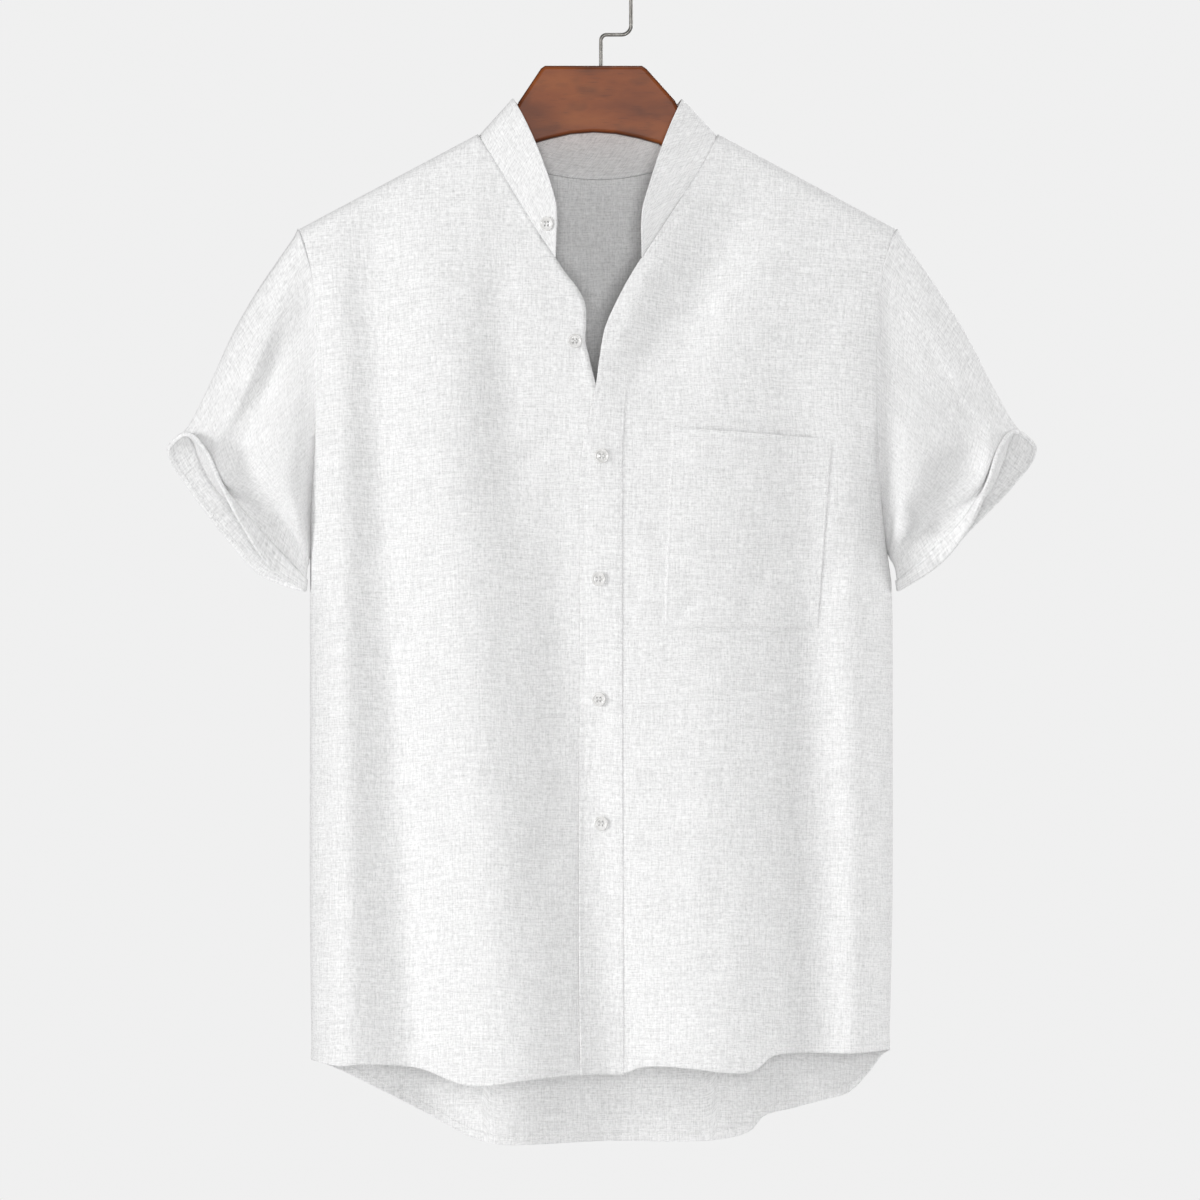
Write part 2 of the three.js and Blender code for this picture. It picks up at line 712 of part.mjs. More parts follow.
function patchPocket(panel) {
  const { topInner, topOuter, footInner, footOuter } = POCKET_CORNERS;
  const cells = range(POCKET_CELLS + 1).map((i) => i / POCKET_CELLS);
  const between = (a, b, t) => [lerp(a[0], b[0], t), lerp(a[1], b[1], t)];
  const rows = cells.map((down) => cells.map((across) => {
    const [x, z] = between(
      between(topInner, topOuter, across),
      between(footInner, footOuter, across),
      down,
    );
    const standOff = POCKET_STAND_OFF * Math.sin(Math.PI * across) * (1 - down);
    return facetAt(panel.outer, x, z).point.add(vec(0, -standOff, 0));
  }));
  return layerOn(rows, POCKET_GAP, POCKET_WALL);
}

// The facet of a grid that lies behind a point of the front view
function facetAt(grid, x, z, columns = grid[0].length) {
  for (let r = 0; r < grid.length - 1; r += 1) {
    for (let c = 0; c < columns - 1; c += 1) {
      const [a, b, d, e] = [grid[r][c], grid[r][c + 1], grid[r + 1][c + 1], grid[r + 1][c]];
      const hit = facetHit(a, b, d, x, z) || facetHit(a, d, e, x, z);
      if (hit) return hit;
    }
  }
  throw new Error(`no facet at ${x}, ${z}`);
}

function facetHit(a, b, c, x, z) {
  const area = (b.x - a.x) * (c.z - a.z) - (c.x - a.x) * (b.z - a.z);
  const u = ((x - a.x) * (c.z - a.z) - (c.x - a.x) * (z - a.z)) / area;
  const v = ((b.x - a.x) * (z - a.z) - (x - a.x) * (b.z - a.z)) / area;
  if (u < 0 || v < 0 || u + v > 1) return null;
  const y = a.y + u * (b.y - a.y) + v * (c.y - a.y);
  const normal = b.clone().sub(a).cross(c.clone().sub(a)).normalize();
  if (normal.y > 0) normal.negate();
  return { point: vec(x, y, z), normal };
}

function buttonGeometry() {
  const half = BUTTON_THICKNESS / 2;
  const profile = [
    [0, -half],
    [BUTTON_RADIUS - BUTTON_RIM, -half],
    [BUTTON_RADIUS, -half + BUTTON_RIM],
    [BUTTON_RADIUS, half - BUTTON_RIM],
    [BUTTON_RADIUS - BUTTON_RIM, half],
    [BUTTON_RADIUS - 3 * BUTTON_RIM, half - BUTTON_RIM],
    [0, half - BUTTON_RIM],
  ].map(([radius, height]) => new THREE.Vector2(radius, height));
  return new THREE.LatheGeometry(profile, BUTTON_SIDES);
}

function placeButton(row) {
  const grids = { collar: collar.outer, right: rightFront.outer, placket: placket.outer };
  const columns = row.carrier === 'collar' ? NECK_ROWS : undefined;
  const { point, normal } = facetAt(grids[row.carrier], row.x, row.z, columns);
  const mesh = new THREE.Mesh(buttonGeometry(), buttonResin());
  mesh.name = row.name;
  mesh.position.copy(point).addScaledVector(normal, BUTTON_GAP + BUTTON_THICKNESS / 2);
  mesh.quaternion.setFromUnitVectors(vec(0, 1, 0), normal);
  return mesh;
}

// Top edge of one hanger arm, just under the shoulder ridge
function armTop(sign) {
  return range(ARM_STEPS + 1).map((i) => {
    const x = sign * lerp(ARM_START, ARM_END, i / ARM_STEPS);
    return new THREE.Vector2(x, shoulderZ(x) - ARM_DROP);
  });
}

// The rounded end of an arm
function armTip(sign) {
  const z = shoulderZ(sign * ARM_END) - ARM_DROP - TIP_RADIUS;
  const turn = (angle) => new THREE.Vector2(
    sign * (ARM_END + TIP_RADIUS * Math.sin(angle) * 0.5),
    z + TIP_RADIUS * Math.cos(angle),
  );
  return TIP_ANGLES.map(turn);
}

function hangerWood() {
  const points = (rows) => rows.map(({ x, z }) => new THREE.Vector2(x, z));
  const rightArm = [...points(WOOD_UPPER), ...armTop(-1), ...armTip(-1)];
  const leftArm = [...points(WOOD_UPPER_LEFT), ...armTop(1), ...armTip(1)];
  const outline = [...leftArm.reverse(), ...rightArm, ...points(WOOD_LOWER)];
  const geometry = new THREE.ExtrudeGeometry(new THREE.Shape(outline), {
    depth: WOOD_THICKNESS - 2 * WOOD_BEVEL,
    bevelThickness: WOOD_BEVEL,
    bevelSize: WOOD_BEVEL,
    bevelOffset: -WOOD_BEVEL,
    bevelSegments: 2,
  });
  geometry.translate(0, 0, WOOD_BEVEL - WOOD_THICKNESS / 2);
  geometry.rotateX(Math.PI / 2);
  return geometry;
}

// The wire rises from the wood, steps aside and bends over the rod
function hookPath() {
  const path = new THREE.CurvePath();
  const line = (from, to) => path.add(new THREE.LineCurve3(from, to));
  const bend = (from, corner, to) => path.add(new THREE.QuadraticBezierCurve3(from, corner, to));
  const foot = vec(0, 0, WOOD_TOP_Z + SEAM_GAP);
  const lowCorner = vec(0, 0, JOG_Z);
  const highCorner = vec(HOOK_RADIUS, 0, JOG_Z);
  const arcStart = vec(HOOK_RADIUS, 0, HOOK_CENTRE_Z);
  line(foot, vec(0, 0, JOG_Z - JOG_BEND));
  bend(vec(0, 0, JOG_Z - JOG_BEND), lowCorner, vec(JOG_BEND, 0, JOG_Z));
  line(vec(JOG_BEND, 0, JOG_Z), vec(HOOK_RADIUS - JOG_BEND, 0, JOG_Z));
  bend(
    vec(HOOK_RADIUS - JOG_BEND, 0, JOG_Z),
    highCorner,
    vec(HOOK_RADIUS, 0, JOG_Z + JOG_BEND),
  );
  line(vec(HOOK_RADIUS, 0, JOG_Z + JOG_BEND), arcStart);
  path.add(new HookArc());
  line(
    vec(-HOOK_RADIUS, 0, HOOK_CENTRE_Z),
    vec(-HOOK_RADIUS, 0, HOOK_CENTRE_Z - HOOK_TIP_LENGTH),
  );
  return path;
}

// Half circle of the hook's bend
class HookArc extends THREE.Curve {
  getPoint(t, target = new THREE.Vector3()) {
    const angle = Math.PI * t;
    return target.set(HOOK_RADIUS * Math.cos(angle), 0, HOOK_CENTRE_Z + HOOK_RADIUS * Math.sin(angle));
  }
}

function hangerHook() {
  const angles = range(HOOK_SIDES).map((i) => (2 * Math.PI * (i + 0.5)) / HOOK_SIDES);
  const circle = angles.map((angle) => new THREE.Vector2(
    WIRE_RADIUS * Math.cos(angle),
    WIRE_RADIUS * Math.sin(angle),
  ));
  return new THREE.ExtrudeGeometry(new THREE.Shape(circle), {
    steps: HOOK_STEPS,
    bevelEnabled: false,
    extrudePath: hookPath(),
  });
}

function named(name, geometry, material) {
  const mesh = new THREE.Mesh(geometry, material);
  mesh.name = name;
  return mesh;
}

const wallMesh = (name, { outer, inner }, material, ring) => (
  named(name, wallGeometry(outer, inner, ring), material)
);

const rightFront = frontPanel(rightSide, rightEdge, rightFrontY, -1);
const leftFront = frontPanel(leftSide, leftEdge, frontY, 1);
const back = backPanel();
const collar = collarBand(rightFront, leftFront, back);
const rightSleeve = sleeveTube(rightFront, back, 0, RIGHT_SLEEVE, -1);
const leftSleeve = sleeveTube(leftFront, back, BACK_SHARES.length - 1, LEFT_SLEEVE, 1);
const placket = placketStrip(leftFront);

const shirt = new THREE.Group();
shirt.add(
  named('hanger_wood', hangerWood(), brownWood()),
  named('hanger_hook', hangerHook(), darkWire()),
  wallMesh('back_panel', back, clothInside()),
  wallMesh('front_right', rightFront, cloth()),
  wallMesh('front_left', leftFront, cloth()),
  wallMesh('placket', placket, cloth()),
  wallMesh('collar_band', collar, cloth()),
  wallMesh('sleeve_right', rightSleeve, cloth(), true),
  wallMesh('sleeve_left', leftSleeve, cloth(), true),
  wallMesh('cuff_right', turnedCuff(rightSleeve), cloth(), true),
  wallMesh('cuff_left', turnedCuff(leftSleeve), cloth(), true),
  wallMesh('chest_pocket', patchPocket(leftFront), cloth()),
);
BUTTONS.forEach((row) => shirt.add(placeButton(row)));

export default shirt;
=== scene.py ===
"""A mandarin collar shirt of white slubbed linen, hanging on a wooden hanger with a wire hook.

Sizes and tables are in millimetres, meshes are made in metres. +X is the wearer's left, the front
faces -Y, +Z is up, and the origin is the inside top of the hook's bend.
"""

import bpy
import numpy as np
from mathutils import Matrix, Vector


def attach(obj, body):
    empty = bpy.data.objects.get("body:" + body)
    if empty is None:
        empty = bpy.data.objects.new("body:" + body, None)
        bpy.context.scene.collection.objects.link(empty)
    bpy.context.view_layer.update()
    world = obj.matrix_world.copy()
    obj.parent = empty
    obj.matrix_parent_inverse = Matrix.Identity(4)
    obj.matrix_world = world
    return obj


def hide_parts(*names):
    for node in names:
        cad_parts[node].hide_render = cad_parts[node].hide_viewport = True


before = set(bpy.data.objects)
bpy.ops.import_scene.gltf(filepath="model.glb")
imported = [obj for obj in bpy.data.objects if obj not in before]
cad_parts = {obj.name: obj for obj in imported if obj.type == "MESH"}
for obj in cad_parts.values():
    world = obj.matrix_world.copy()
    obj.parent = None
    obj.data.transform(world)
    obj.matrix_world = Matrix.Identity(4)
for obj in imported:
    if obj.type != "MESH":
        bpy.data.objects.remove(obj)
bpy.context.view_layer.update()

MM = 0.001
BODY = "root"

# Cloth
CLOTH = 0.7
SEAM_HALF = 0.05
LAYER_SINK = 0.3
HEM_WIDTH = 7.5
HEM_RISE = 0.55
HEM_STEP = 1.0
HEM_STITCH_INSET = 1.6
STITCH_GROOVE = 0.5
EDGE_STITCH_INSET = 2.0
WAVE_REACH = 70.0
WAVE_SEED = {"front": 5, "back": 4}

# Depth of the hanging body
DEPTH = {"front": 58.0, "back": 50.0}
RIDGE_RADIUS = 11.0
DEPTH_DROP = 230.0
CALM_DROP = 60.0
SECTION_POWER = 2.6
UNDERLAP = 1.3
UNDERLAP_START_X = -60.0
UNDERLAP_RUN = 38.0
EDGE_DIP = 0.9
EDGE_DIP_WIDTH = 3.5

# Levels
NECK_POINT_Z = -134.5
SHOULDER_TIP_Z = -211.0
UNDERARM_Z = -466.0
BAND_END_Z = -235.0
CROSSING_Z = -338.0
SIDE_HEM_Z = -874.0
FRONT_HEM_Z = -886.0
RIGHT_NECK_X = -98.4
LEFT_NECK_X = 93.5
BAND_END_SHARE = 0.185
UNDERARM_SHARE = (UNDERARM_Z - SHOULDER_TIP_Z) / (SIDE_HEM_Z - SHOULDER_TIP_Z)
HEM_START_SHARE = 0.55
NECK_HALF_SHARE = 0.4

# Share along a sleeve of its armhole, its middle, the cuff's free edge and the rim
SLEEVE_SHARES = (0.0, 0.42, 0.82, 1.0)
FREE_EDGE_SHARE = SLEEVE_SHARES[2]

# Hanger
WOOD_THICKNESS = 14.0
WOOD_BEVEL = 3.0
ARM_DROP = 4.7
ARM_START = 112.0
ARM_END = 224.0
TIP_RADIUS = 9.0
WIRE_RADIUS = 1.5
HOOK_RADIUS = 24.0
HOOK_CENTRE_Z = WIRE_RADIUS - HOOK_RADIUS
HOOK_TIP_LENGTH = 3.5
JOG_Z = -55.0
JOG_BENDS = (4.5, 7.5)
STEM_FOOT_Z = -79.7
STEM_MIDDLE_Z = -70.0

# Camera: the photo is 1200 pixels of 0.8 mm wide at the middle plane of the shirt
CAMERA_DISTANCE = 8000.0
VIEW_WIDTH = 960.0
VIEW_CENTRE = (-0.8, -507.2)
SENSOR = 36.0


def lerp(a, b, t):
    return a + (b - a) * t


def smooth(t):
    t = np.clip(t, 0, 1)
    return t * t * (3 - 2 * t)


def curve(at, value):
    """A smooth curve through points, at rising."""
    at = np.asarray(at, float)
    value = np.asarray(value, float)
    slope = np.empty_like(value)
    slope[1:-1] = (value[2:] - value[:-2]) / (at[2:] - at[:-2])
    slope[0] = (value[1] - value[0]) / (at[1] - at[0])
    slope[-1] = (value[-1] - value[-2]) / (at[-1] - at[-2])

    def sample(x):
        x = np.clip(x, at[0], at[-1])
        i = np.clip(np.searchsorted(at, x, side="right") - 1, 0, len(at) - 2)
        span = at[i + 1] - at[i]
        t = (x - at[i]) / span
        rise = value[i + 1] - value[i]
        near = slope[i] * span
        far = slope[i + 1] * span
        bend = 3 * rise - 2 * near - far + t * (near + far - 2 * rise)
        return value[i] + t * (near + t * bend)

    return sample


def line_through(*points):
    """A smooth curve through pairs of a place and its value, in any order."""
    return curve(*np.array(sorted(points)).T)


def table(columns, *rows):
    return {name: np.array([row[i] for row in rows]) for i, name in enumerate(columns)}


def through(rows, key, value):
    return line_through(*zip(rows[key], rows[value]))


# Lines of the shirt: x by level for the edges of the fronts and the placket, level by x for the
# hems, level by share of half the width for the neck of the back
right_edge = line_through(
    (-134.5, -98.4), (-161, -82), (-188, -66), (-214, -50), (-235, -36), (-246, -28.8),
    (-258, -19.4), (-270, -13), (-285, -11.6), (-301, -12.4), (-313, -9.8), (-325, -7),
    (-338, -3.2), (-360, 7), (-390, 14), (-890, 14),
)
left_edge = line_through(
    (-134.5, 93.5), (-156, 83), (-178, 69.5), (-200, 55), (-218, 43.5), (-235, 32.6), (-256, 20),
    (-280, 8), (-294, 2.8), (-318, -1.2), (-338, -4), (-382, -13.6), (-405, -16), (-550, -16.4),
    (-772, -17.4), (-890, -16),
)
placket_border = line_through(
    (-178, 77), (-205, 68), (-235, 57), (-265, 45.5), (-300, 33), (-328, 23.5), (-350, 19.6),
    (-405, 17.4), (-890, 18.4),
)
back_neck = line_through(
    (-0.4, -134.5), (-0.33, -149), (-0.24, -160), (-0.12, -167.5), (0, -170), (0.12, -167.5),
    (0.24, -160), (0.33, -149), (0.4, -134.5),
)
front_hem = line_through(
    (-233, -874), (-210, -878), (-190, -877), (-165, -878), (-142, -881), (-111, -892),
    (-92, -893), (-70, -890), (-44, -887), (-16, -885), (18, -884), (32, -879), (50, -878),
    (76, -880), (107, -883), (122, -881), (136, -870), (154, -868), (202, -868), (233, -866),
)
back_hem = line_through(
    (-233, -874), (-206, -886), (-175, -902), (-137, -922), (-105, -939), (-82, -945),
    (-50, -945), (0, -943), (60, -943), (94, -941), (120, -934), (131, -922), (154, -916),
    (180, -909), (200, -902), (215, -886), (225, -872), (233, -866),
)
SIDES = table(
    ("z", "right", "left"),
    (-211, -242.4, 236.8), (-226, -237.5, 231.0), (-245, -232.2, 225.4), (-269, -228.8, 222.0),
    (-298, -227.2, 220.8), (-337, -226.4, 220.0), (-380, -228.4, 221.2), (-423, -231.0, 223.6),
    (-466, -232.6, 228.6), (-497, -232.8, 232.6), (-600, -232.8, 233.4), (-750, -232.8, 233.2),
    (-880, -231.4, 230.4),
)
right_side = through(SIDES, "z", "right")
left_side = through(SIDES, "z", "left")

# Share of the body's depth that is left at the armhole seam, by level
armhole_share = line_through(
    (-211, 0.9), (-260, 0.64), (-337, 0.5), (-400, 0.36), (-440, 0.18), (-466, 0.0), (-480, 0.0),
    (-900, 0.0),
)

COLLAR_TOP = table(
    ("share", "rightX", "rightZ", "leftX", "leftZ", "lean"),
    (0, -72, -103, 66.4, -103.5, 0),
    (0.25, -60.5, -124, 56, -126, -1.5),
    (0.5, -49.5, -149, 46.5, -151, -3),
    (0.75, -40.5, -174, 38.5, -176, -4),
    (0.92, -36.2, -190, 34, -192, -4),
    (1, -35.6, -198, 32.8, -200, -4),
)
COLLAR_BACK_TOP = table(
    ("share", "x", "z", "lean"),
    (-0.4, -72, -103, 0), (-0.36, -67, -110, 1), (-0.24, -49, -123, 3), (-0.12, -27, -129, 3),
    (0, -2, -131, 3), (0.12, 22, -129, 3), (0.24, 44, -123, 3), (0.36, 61, -110, 1),
    (0.4, 66.4, -103.5, 0),
)

# Hanging folds: x and z at the top and at the foot, half width, rise, and 1 for a fold that
# runs off the hem or 0 for one that fades at both ends
FOLDS = {
    "front": (
        (-213, 150, -212, -700, 22, 16, 1), (-208, 150, -160, -700, 26, -18, 1),
        (-169, 150, -90, -700, 34, 12, 1), (-71, -150, 3, -800, 34, -15, 1),
        (64, -150, 99, -800, 42, 11, 1), (155, -150, 168, -750, 29, -15, 1),
        (211, -150, 211, -700, 26, 15, 1), (-84, -200, -72, -480, 20, -5, 0),
        (78, -165, 24, -350, 15, -4, 0),
    ),
    "back": (
        (-190, -250, -140, -850, 34, 8, 1), (-122, -250, -76, -850, 34, -9, 1),
        (-40, -250, 14, -850, 38, 8, 1), (70, -250, 101, -850, 40, -9, 1),
        (150, -250, 170, -850, 32, 8, 1),
    ),
}
# Small creases, each a soft lens between two points: x and z of both, half width, rise
CREASES = {
    "front": (
        (104, -112, -22, -376, 17, 8), (140, -112, 28, -384, 28, -13),
        (55, -530, 82, -496, 5, -1.6), (140, -455, 108, -540, 11, -3.0),
        (-222, -226, -150, -335, 11, -1.8), (214, -226, 156, -330, 11, -1.8),
        (-214, -410, -160, -520, 10, 1.8), (214, -400, 176, -520, 9, -1.8),
        (-20, -345, -80, -430, 9, -1.6), (-30, -640, -62, -800, 12, -1.6),
        (30, -400, 46, -600, 9, 1.4), (-150, -600, -176, -760, 10, 1.8),
        (100, -660, 84, -850, 12, -1.8),
    ),
    "back": (
        (-214, -230, -140, -330, 12, -2.2), (208, -230, 140, -330, 12, -2.2),
        (-205, -420, -120, -520, 12, 2.2), (200, -420, 120, -520, 12, 2.2),
        (-60, -190, -30, -360, 14, -1.8), (56, -190, 34, -360, 14, -1.8),
        (0, -420, 14, -640, 14, 1.8),
    ),
}
SLEEVE_COLUMNS = ("at", "freeX", "freeY", "freeZ", "rimX", "rimY", "rimZ", "midOut", "midLift")
RIGHT_SLEEVE = table(
    SLEEVE_COLUMNS,
    (0, -326, 0, -364, -346, 3, -388, -7, 0),
    (0.12, -321, -9, -374, -331, -14, -375, -4, -8),
    (0.28, -313, -11, -394, -316, -30, -388, 0, -4),
    (0.48, -299, -13, -417, -302, -35, -417, 0, -12),
    (0.66, -277, -20, -430, -286, -33, -447, 0, -17),
    (0.84, -253, -20, -445, -264, -21, -480, 0, -12),
    (1, -235.0, -11, -481, -237.0, -10, -499, 0, -2),
    (1.2, -254, 12, -463, -271, 12, -487, 0, 6),
    (1.5, -279, 17, -440, -297, 17, -460, 0, 14),
    (1.75, -309, 14, -404, -327, 15, -421, -2, 12),
)
LEFT_SLEEVE = table(
    SLEEVE_COLUMNS,
    (0, 326, 0, -362, 347.5, 3, -387, 6, 0),
    (0.12, 322, -9, -372, 331, -14, -373, 3, -8),
    (0.28, 315, -11, -392, 318, -30, -387, 0, -9),
    (0.48, 303, -13, -418, 308, -35, -416, 0, -10),
    (0.66, 282, -20, -435, 293, -33, -449, 0, -15),
    (0.84, 257, -20, -452, 270, -21, -478, 0, -16),
    (1, 235.5, -11, -482, 238.0, -10, -499, 0, -2),
    (1.2, 255, 12, -460, 271, 12, -476, 0, 6),
    (1.5, 281, 17, -434, 298, 17, -448, 0, 14),
    (1.75, 311, 14, -402, 329, 15, -416, 2, 12),
)
# Creases of a sleeve between two points, each a place round the tube and a share along it
SLEEVE_BACK_CREASES = (1.3, 0.1, 1.45, 0.8, 0.08, -3.0), (1.6, 0.1, 1.7, 0.8, 0.07, 2.5)
SLEEVE_CREASES = {
    "right": (
        (0.1, 0.1, 0.3, 0.85, 0.045, -4.5), (0.2, 0.15, 0.48, 0.86, 0.06, 3.5),
        (0.62, 0.2, 0.62, 0.9, 0.07, 1.5), (0.84, 0.25, 0.88, 0.8, 0.05, -4.0),
        *SLEEVE_BACK_CREASES,
    ),
    "left": (
        (0.1, 0.15, 0.22, 0.85, 0.04, -3.0), (0.3, 0.1, 0.4, 0.8, 0.05, 2.2),
        (0.55, 0.05, 0.5, 0.7, 0.05, -2.2), (0.84, 0.1, 0.78, 0.8, 0.06, 3.0),
        (0.84, 0.22, 0.88, 0.8, 0.05, -6.5), *SLEEVE_BACK_CREASES,
    ),
}
# Upper corners and lower corners of the pocket
POCKET_TOP = ((56.8, -369.6), (184.0, -379.0))
POCKET_FOOT = ((50.4, -529.6), (173.0, -529.6))
POCKET_HEM = 30.0
POCKET_STAND_OFF = 3.4
BUTTONS = (
    ("button_collar", "collar", -42.5, -208.0),
    ("button_chest", "right", -20.6, -301.6),
    ("button_1", "placket", 0.8, -392.8),
    ("button_2", "placket", -1.4, -490.4),
    ("button_3", "placket", -0.8, -586.0),
    ("button_4", "placket", 0.8, -684.8),
)
# The wood's outline at its middle: upper edges from the hook outwards, lower edge from the right
WOOD_UPPER_RIGHT = (
    (-44.8, -80), (-48, -82.2), (-66, -109.2), (-71, -121), (-80, -138), (-94, -147),
)
WOOD_UPPER_LEFT = (
    (32.8, -80), (36.2, -82.2), (59.2, -107.8), (65, -120), (75, -138), (89, -147),
)
WOOD_LOWER = (
    (-206, -226), (-128, -186), (-80, -160), (-52.2, -141.6), (-39, -138), (-24, -134.6),
    (-6, -133.2), (12, -134.4), (29.6, -138), (46, -142.4), (75, -160), (124, -185), (202, -225),
)


def shoulder_z(x):
    right = (x - RIGHT_NECK_X) / (SIDES["right"][0] - RIGHT_NECK_X)
    left = (x - LEFT_NECK_X) / (SIDES["left"][0] - LEFT_NECK_X)
    return lerp(NECK_POINT_Z, SHOULDER_TIP_Z, np.clip(np.where(x < 0, right, left), 0, 1))


def width_share(x, z):
    right = right_side(z)
    left = left_side(z)
    return np.clip((2 * x - right - left) / (left - right), -1, 1)


def fold_rise(face, x, z):
    rise = np.zeros_like(x)
    for top_x, top_z, foot_x, foot_z, half_width, height, runs_off in FOLDS[face]:
        along = (top_z - z) / (top_z - foot_z)
        across = (x - lerp(top_x, foot_x, along)) / half_width
        fading = np.where((along > 0) & (along < 1), np.sin(np.pi * along), 0)
        strength = smooth(along) if runs_off else fading
        rise = rise + height * strength * np.exp(-across * across)
    return rise


def lens_rise(creases, a, b):
    """Soft lens-shaped troughs and ridges between pairs of points."""
    rise = np.zeros_like(a)
    for from_a, from_b, to_a, to_b, half_width, height in creases:
        run_a, run_b = to_a - from_a, to_b - from_b
        length = np.hypot(run_a, run_b)
        along = ((a - from_a) * run_a + (b - from_b) * run_b) / length**2
        across = ((a - from_a) * run_b - (b - from_b) * run_a) / length / half_width
        inside = (along > 0) & (along < 1)
        strength = np.where(inside, np.sin(np.pi * np.clip(along, 0, 1)) ** 2, 0)
        rise = rise + height * strength * np.exp(-across * across)
    return rise


def soft_waves(a, b, seed, reach, count=14, height=0.32):
    """Small uneven undulation of hung linen, from a few seeded sine waves."""
    random = np.random.default_rng(seed)
    rise = np.zeros_like(a)
    for _ in range(count):
        length = random.uniform(0.5, 1.6) * reach
        turn = random.uniform(-0.5, 0.5) + (0 if random.random() < 0.6 else np.pi / 2)
        phase = random.uniform(0, 2 * np.pi)
        rise = rise + np.sin((a * np.cos(turn) + b * np.sin(turn)) * 2 * np.pi / length + phase)
    return rise * height / np.sqrt(count)


def body_depth(face, x, z):
    """Distance of the cloth's outer face from the middle plane."""
    below = np.maximum(0, shoulder_z(x) - z)
    ridge = RIDGE_RADIUS * np.sqrt(1 - (1 - np.minimum(1, below / RIDGE_RADIUS)) ** 2)
    drape = (DEPTH[face] - RIDGE_RADIUS) * (1 - (1 - np.minimum(1, below / DEPTH_DROP)) ** 2)
    share = np.abs(width_share(x, z))
    edge = np.where(z < UNDERARM_Z, 0, np.maximum(0, armhole_share(z)))
    section = edge + (1 - edge) * (1 - share**SECTION_POWER) ** (1 / SECTION_POWER)
    calm = (1 - share**8) * np.minimum(1, below / CALM_DROP)
    detail = lens_rise(CREASES[face], x, z) + soft_waves(x, z, WAVE_SEED[face], WAVE_REACH)
    return SEAM_HALF + (ridge + drape) * section + (fold_rise(face, x, z) + detail) * calm


def front_y(x, z):
    return -body_depth("front", x, z)


def back_y(x, z):
    return body_depth("back", x, z)


def right_front_y(x, z):
    """The right front, which dips under the left one and lies on inside it."""
    dip = EDGE_DIP * smooth((x - left_edge(z) + EDGE_DIP_WIDTH) / EDGE_DIP_WIDTH) * (z < CROSSING_Z)
    return front_y(x, z) + UNDERLAP * smooth((x - UNDERLAP_START_X) / UNDERLAP_RUN) + dip


def points_of(x, y, z):
    return np.stack(np.broadcast_arrays(x, y, z), axis=-1).astype(float)


def grid_normals(grid, ring=False):
    down = np.gradient(grid, axis=0)
    if ring:
        across = np.roll(grid, -1, axis=1) - np.roll(grid, 1, axis=1)
    else:
        across = np.gradient(grid, axis=1)
    normal = np.cross(across, down)
    return normal / np.maximum(np.linalg.norm(normal, axis=-1, keepdims=True), 1e-9)


def unit(vectors):
    return vectors / np.linalg.norm(vectors, axis=-1, keepdims=True)


def facing(normals, axis, sign):
    """The normals, turned so that their mean points to one side of an axis."""
    return normals if np.mean(normals[..., axis]) * sign > 0 else -normals


def run_from_start(steps, axis):
    return np.concatenate([np.zeros_like(np.take(steps, [0], axis)), np.cumsum(steps, axis)], axis)


def run_along(line):
    """Distance of each point of a line from its start."""
    return run_from_start(np.linalg.norm(np.diff(line, axis=0), axis=1), 0)


def along_grid(grid):
    """Cloth coordinates in metres: the run along the rows and down the columns."""
    across = np.linalg.norm(np.diff(grid, axis=1), axis=-1)
    down = np.linalg.norm(np.diff(grid, axis=0), axis=-1)
    return np.stack([run_from_start(across, 1), run_from_start(down, 0)], axis=-1) * MM


def hanging_threads(column):
    """Cloth coordinates with level and upright threads, true to length from one column on."""

    def coordinates(grid):
        step = np.diff(grid, axis=1)
        across = run_from_start(np.hypot(step[..., 0], step[..., 1]) * np.sign(step[..., 0]), 1)
        step = np.diff(grid, axis=0)
        down = run_from_start(np.hypot(step[..., 1], step[..., 2]), 0)
        u = grid[:, column, 0][:, None] + across - across[:, column][:, None]
        return np.stack([u, grid[0, :, 2] - down], axis=-1) * MM

    return coordinates


def linked(name, data):
    thing = bpy.data.objects.new(name, data)
    bpy.context.scene.collection.objects.link(thing)
    return thing


def mesh_object(name, points, faces, uv=None):
    mesh = bpy.data.meshes.new(name)
    mesh.from_pydata((np.asarray(points) * MM).tolist(), [], faces)
    if uv is not None:
        cloth_layer = mesh.uv_layers.new(name="cloth")
        corner = np.empty(len(mesh.loops), dtype=np.int32)
        mesh.loops.foreach_get("vertex_index", corner)
        cloth_layer.data.foreach_set("uv", uv[corner].ravel())
    mesh.validate()
    mesh.shade_smooth()
    return linked(name, mesh)


# Materials


